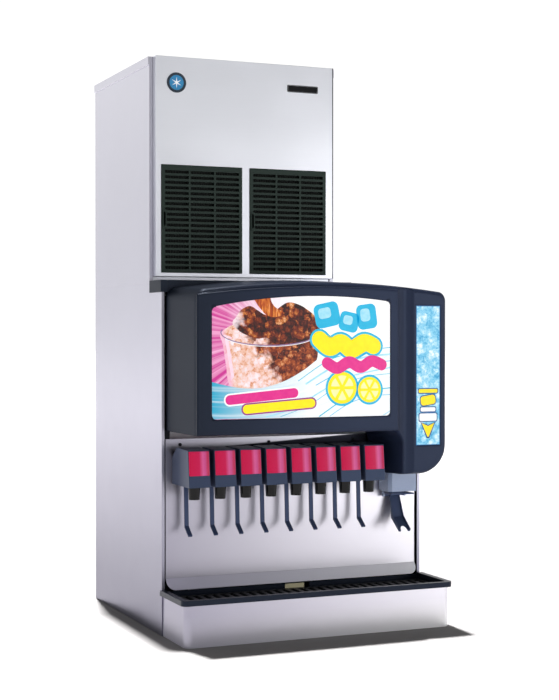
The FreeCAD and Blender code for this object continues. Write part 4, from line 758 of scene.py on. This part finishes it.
def make_grille_tabs():
    """The pull at the left edge of each grille."""
    gap, thick, inset, middle = 0.0001, 0.0022, 0.0075, 1.097
    for side in ("left", "right"):
        low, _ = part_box("air_grille_" + side)
        plate(f"grille_tab_{side}", [rounded(11, 50, 3.5), rounded(5, 38, 2.0)], low.y - gap, thick, grille,
              body="air_grille_" + side, slot_name="grille_plastic", u=low.x + inset, v=middle)


def make_grille_filters():
    """A pleated filter mat clipped to the back of each grille."""
    mat = moulded("filter_mat", "0b100e", rough=(0.6, 0.8), grain=900.0, depth=0.0004,
                  Specular_IOR_Level=0.2)
    columns, margin, gap, thick, pleat = 60, 0.004, 0.0008, 0.0012, 0.0016
    for side in ("left", "right"):
        low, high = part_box("air_grille_" + side)
        foot, top, back = low.z + margin, high.z - margin, high.y + gap
        step = (high.x - low.x - 2 * margin) / columns
        build = bmesh.new()
        rows = []
        for y, z in ((back, foot), (back, top), (back + thick, top), (back + thick, foot)):
            rows.append([build.verts.new((low.x + margin + step * k, y + pleat * (k % 2), z))
                         for k in range(columns + 1)])
        for first, second in zip(rows, rows[1:] + rows[:1]):
            join(build, first, second, closed=False)
        for k in (0, columns):
            build.faces.new([row[k] for row in rows])
        piece_from(build, f"grille_filter_{side}", mat, "air_grille_" + side)


def make_tray_label():
    """A blank label in the drip tray's rear notch."""
    cream = moulded("label_paper", "e9e0b8", rough=(0.5, 0.6), grain=500.0)
    back, thick = -0.2222, 0.0006
    plate("tray_label", [rounded(56, 13, 2)], back, thick, cream, u=-0.004, v=0.1085)


def make_lever_ribs():
    """Ribs down both edges of the ice lever's strap, which make it a shallow channel."""
    low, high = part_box("ice_lever")
    middle = (low.x + high.x) / 2 / MM
    path = [Vector((-224, 345)), Vector((-245, 282)), Vector((-290, 250))]
    halves, rises = (14.0, 16.0, 16.0), (3.0, 7.0, 3.5)
    foot_half, crest_half, foot_lift, crest_lift = 1.3, 0.9, 0.5, 2.0
    for side, sign in (("left", -1), ("right", 1)):
        build = bmesh.new()
        loops = []
        for k, (point, half, rise) in enumerate(zip(path, halves, rises)):
            along = (path[min(k + 1, len(path) - 1)] - path[max(k - 1, 0)]).normalized()
            out = Vector((along.y, -along.x))
            centre = middle + sign * half
            foot, crest = point + out * foot_lift, point + out * (rise + crest_lift)
            corners = ((-foot_half, foot), (foot_half, foot), (crest_half, crest), (-crest_half, crest))
            loops.append([build.verts.new(((centre + x) * MM, spot.x * MM, spot.y * MM))
                          for x, spot in corners])
        for first, second in zip(loops, loops[1:]):
            join(build, first, second)
        build.faces.new(loops[0])
        build.faces.new(loops[-1])
        piece_from(build, f"lever_rib_{side}", lever, "ice_lever")


def prisms(name, profile, starts, length, material):
    """Copies of a profile in the YZ plane, each drawn out along X from its start (x, y, z)."""
    build = bmesh.new()
    for x, y, z in starts:
        ends = [[build.verts.new((x + across, y + u, z + v)) for u, v in profile]
                for across in (0.0, length)]
        join(build, *ends)
        build.faces.new(ends[0])
        build.faces.new(ends[1])
    piece_from(build, name, material)


def domes(name, places, face, rings, material):
    """Screw heads on a rear face; rings are (radius, height) from the face to the crown."""
    build = bmesh.new()
    sides = 16
    for x, z in places:
        loops = []
        for radius, height in rings:
            loops.append([build.verts.new((x + p.x, face + height, z + p.y))
                          for p in oval(0, 0, radius, radius, steps=sides)])
        for first, second in zip(loops, loops[1:]):
            join(build, first, second)
        build.faces.new(loops[0])
        build.faces.new(loops[-1])
    piece_from(build, name, material)


def make_rear_details():
    """Pressed louvres, a service cover and screws on the ice maker's rear panel, which the photo doesn't
    show.
    """
    low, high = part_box("icemaker_rear_panel")
    face = high.y
    middle = (low.x + high.x) / 2
    louvre_width, louvre_pitch, louvre_rows, lowest_louvre, column_gap = 0.180, 0.022, 12, 0.12, 0.050
    hood = [(0.0, 0.0), (0.0055, 0.0015), (0.0060, 0.0035), (0.0035, 0.0080), (0.0, 0.0110)]
    starts = [(x, face, low.z + lowest_louvre + row * louvre_pitch) for row in range(louvre_rows)
              for x in (middle - column_gap / 2 - louvre_width, middle + column_gap / 2)]
    prisms("rear_louvres", hood, starts, louvre_width, steel_side)
    cover_half, cover_low, cover_high, cover_thick = 0.28, 0.33, 0.77, 0.0012
    outline = rounded(2 * cover_half / MM, (cover_high - cover_low) / MM, 8)
    plate("rear_cover", [outline], face + cover_thick, cover_thick, steel_side, slot_name="stainless",
          v=(cover_low + cover_high) / 2)
    edge = 0.014
    head = [(0.0046, 0.0), (0.0046, 0.0012), (0.0034, 0.0021), (0.0012, 0.0024)]
    columns = [-cover_half + edge, 0.0, cover_half - edge]
    cover_screws = [(x, z) for x in columns for z in (cover_low + edge, cover_high - edge)]
    domes("rear_cover_screws", cover_screws, face + cover_thick, head, steel_tube)
    columns = [low.x + edge, middle, high.x - edge]
    panel_screws = [(x, z) for x in columns for z in (low.z + edge, high.z - edge)]
    domes("rear_panel_screws", panel_screws, face, head, steel_tube)


make_sign_art()
make_sign_corners()
make_ice_sign_art()
make_labels()
make_badges()
make_grille_tabs()
make_grille_filters()
make_tray_label()
make_lever_ribs()
make_rear_details()

# ---------------------------------------------------------------- stage


def area_light(name, place, target, width, height, power, receivers):
    """A rectangular lamp that lights only the objects of one collection."""
    data = bpy.data.lights.new(name, "AREA")
    data.shape = "RECTANGLE"
    data.size = width
    data.size_y = height
    data.energy = power
    lamp_object = bpy.data.objects.new(name, data)
    bpy.context.scene.collection.objects.link(lamp_object)
    lamp_object.location = place
    lamp_object.rotation_euler = (Vector(target) - Vector(place)).to_track_quat("-Z", "Y").to_euler()
    lamp_object.light_linking.receiver_collection = receivers


def make_world():
    """White near the horizon, dimmer in front of the object and dark overhead."""
    world = bpy.data.worlds.new("studio")
    bpy.context.scene.world = world
    world.use_nodes = True
    tree = world.node_tree
    split = tree.nodes.new("ShaderNodeSeparateXYZ")
    tree.links.new(tree.nodes.new("ShaderNodeTexCoord").outputs["Generated"], split.inputs["Vector"])

    def spread(axis, start, end, low, high):
        made = tree.nodes.new("ShaderNodeMapRange")
        for socket, number in zip(("From Min", "From Max", "To Min", "To Max"), (start, end, low, high)):
            made.inputs[socket].default_value = number
        tree.links.new(split.outputs[axis], made.inputs["Value"])
        return made.outputs["Result"]

    total = tree.nodes.new("ShaderNodeMath")
    total.operation = "MULTIPLY"
    tree.links.new(spread("Y", -1.0, 0.5, 0.50, 1.08), total.inputs[0])
    tree.links.new(spread("Z", 0.30, 0.62, 1.0, 0.16), total.inputs[1])
    tree.links.new(total.outputs["Value"], tree.nodes["Background"].inputs["Strength"])
    tree.nodes["Background"].inputs["Color"].default_value = (1, 1, 1, 1)


def make_floor():
    """Paper that is grey under the object and glows white far out; gives its collection."""
    radius, drop, glow, glow_start, glow_end = 60, 0.0005, 1.05, 1.5, 14.0
    mesh = bpy.data.meshes.new("floor")
    build = bmesh.new()
    bmesh.ops.create_circle(build, cap_ends=True, radius=radius, segments=96)
    build.to_mesh(mesh)
    build.free()
    floor = bpy.data.objects.new("floor", mesh)
    floor.location = (0, 0, -drop)
    bpy.context.scene.collection.objects.link(floor)
    paint = Paint("floor_paper", Roughness=0.9, Specular_IOR_Level=0.1, Emission_Strength=1.0)
    tone = paint.mix(paint.spread(paint.noise(paint.place, scale=40.0), 0, 1), rgb("918f8f"), rgb("949292"))
    reach = paint.node("ShaderNodeVectorMath", {"operation": "LENGTH"}, Vector=paint.place).outputs["Value"]
    paint.feed(paint.shader.inputs["Emission Color"], paint.spread(reach, 0, glow, glow_start, glow_end))
    mesh.materials.append(paint.done(tone))
    ground = bpy.data.collections.new("ground")
    bpy.context.scene.collection.children.link(ground)
    ground.objects.link(floor)
    return ground


def make_camera():
    """The photo's camera, solved from the object's corners."""
    data = bpy.data.cameras.new("camera")
    data.lens = 76.94
    data.sensor_width = 36
    camera = bpy.data.objects.new("camera", data)
    camera.location = (-1.626, -3.930, 0.795)
    direction = Vector((0.3915, 0.9201, -0.0119))
    camera.rotation_euler = direction.to_track_quat("-Z", "Y").to_euler()
    bpy.context.scene.collection.objects.link(camera)
    bpy.context.scene.camera = camera


def gather_machine():
    """A collection of every mesh made so far, for the lights that only the object receives."""
    machine = bpy.data.collections.new("machine")
    bpy.context.scene.collection.children.link(machine)
    for thing in list(bpy.context.scene.collection.objects):
        if thing.type == "MESH":
            machine.objects.link(thing)
    return machine


machine = gather_machine()
make_world()
ground = make_floor()
make_camera()
overhead, foot = (0.5, 5.0, 30.0), (0, 0, 0)
area_light("overhead_floor", overhead, foot, 0.7, 0.7, 35000, ground)
area_light("overhead_machine", overhead, foot, 3.0, 3.0, 12000, machine)
area_light("softbox_right", (2.4, -3.6, 0.75), (0.1, -0.2, 0.5), 1.4, 1.3, 20, machine)
area_light("softbox_top", (-0.3, -1.6, 3.4), (0, -0.2, 0.8), 2.2, 1.4, 10, machine)

view = bpy.context.scene.view_settings
view.view_transform = "Standard"
view.look = "None"
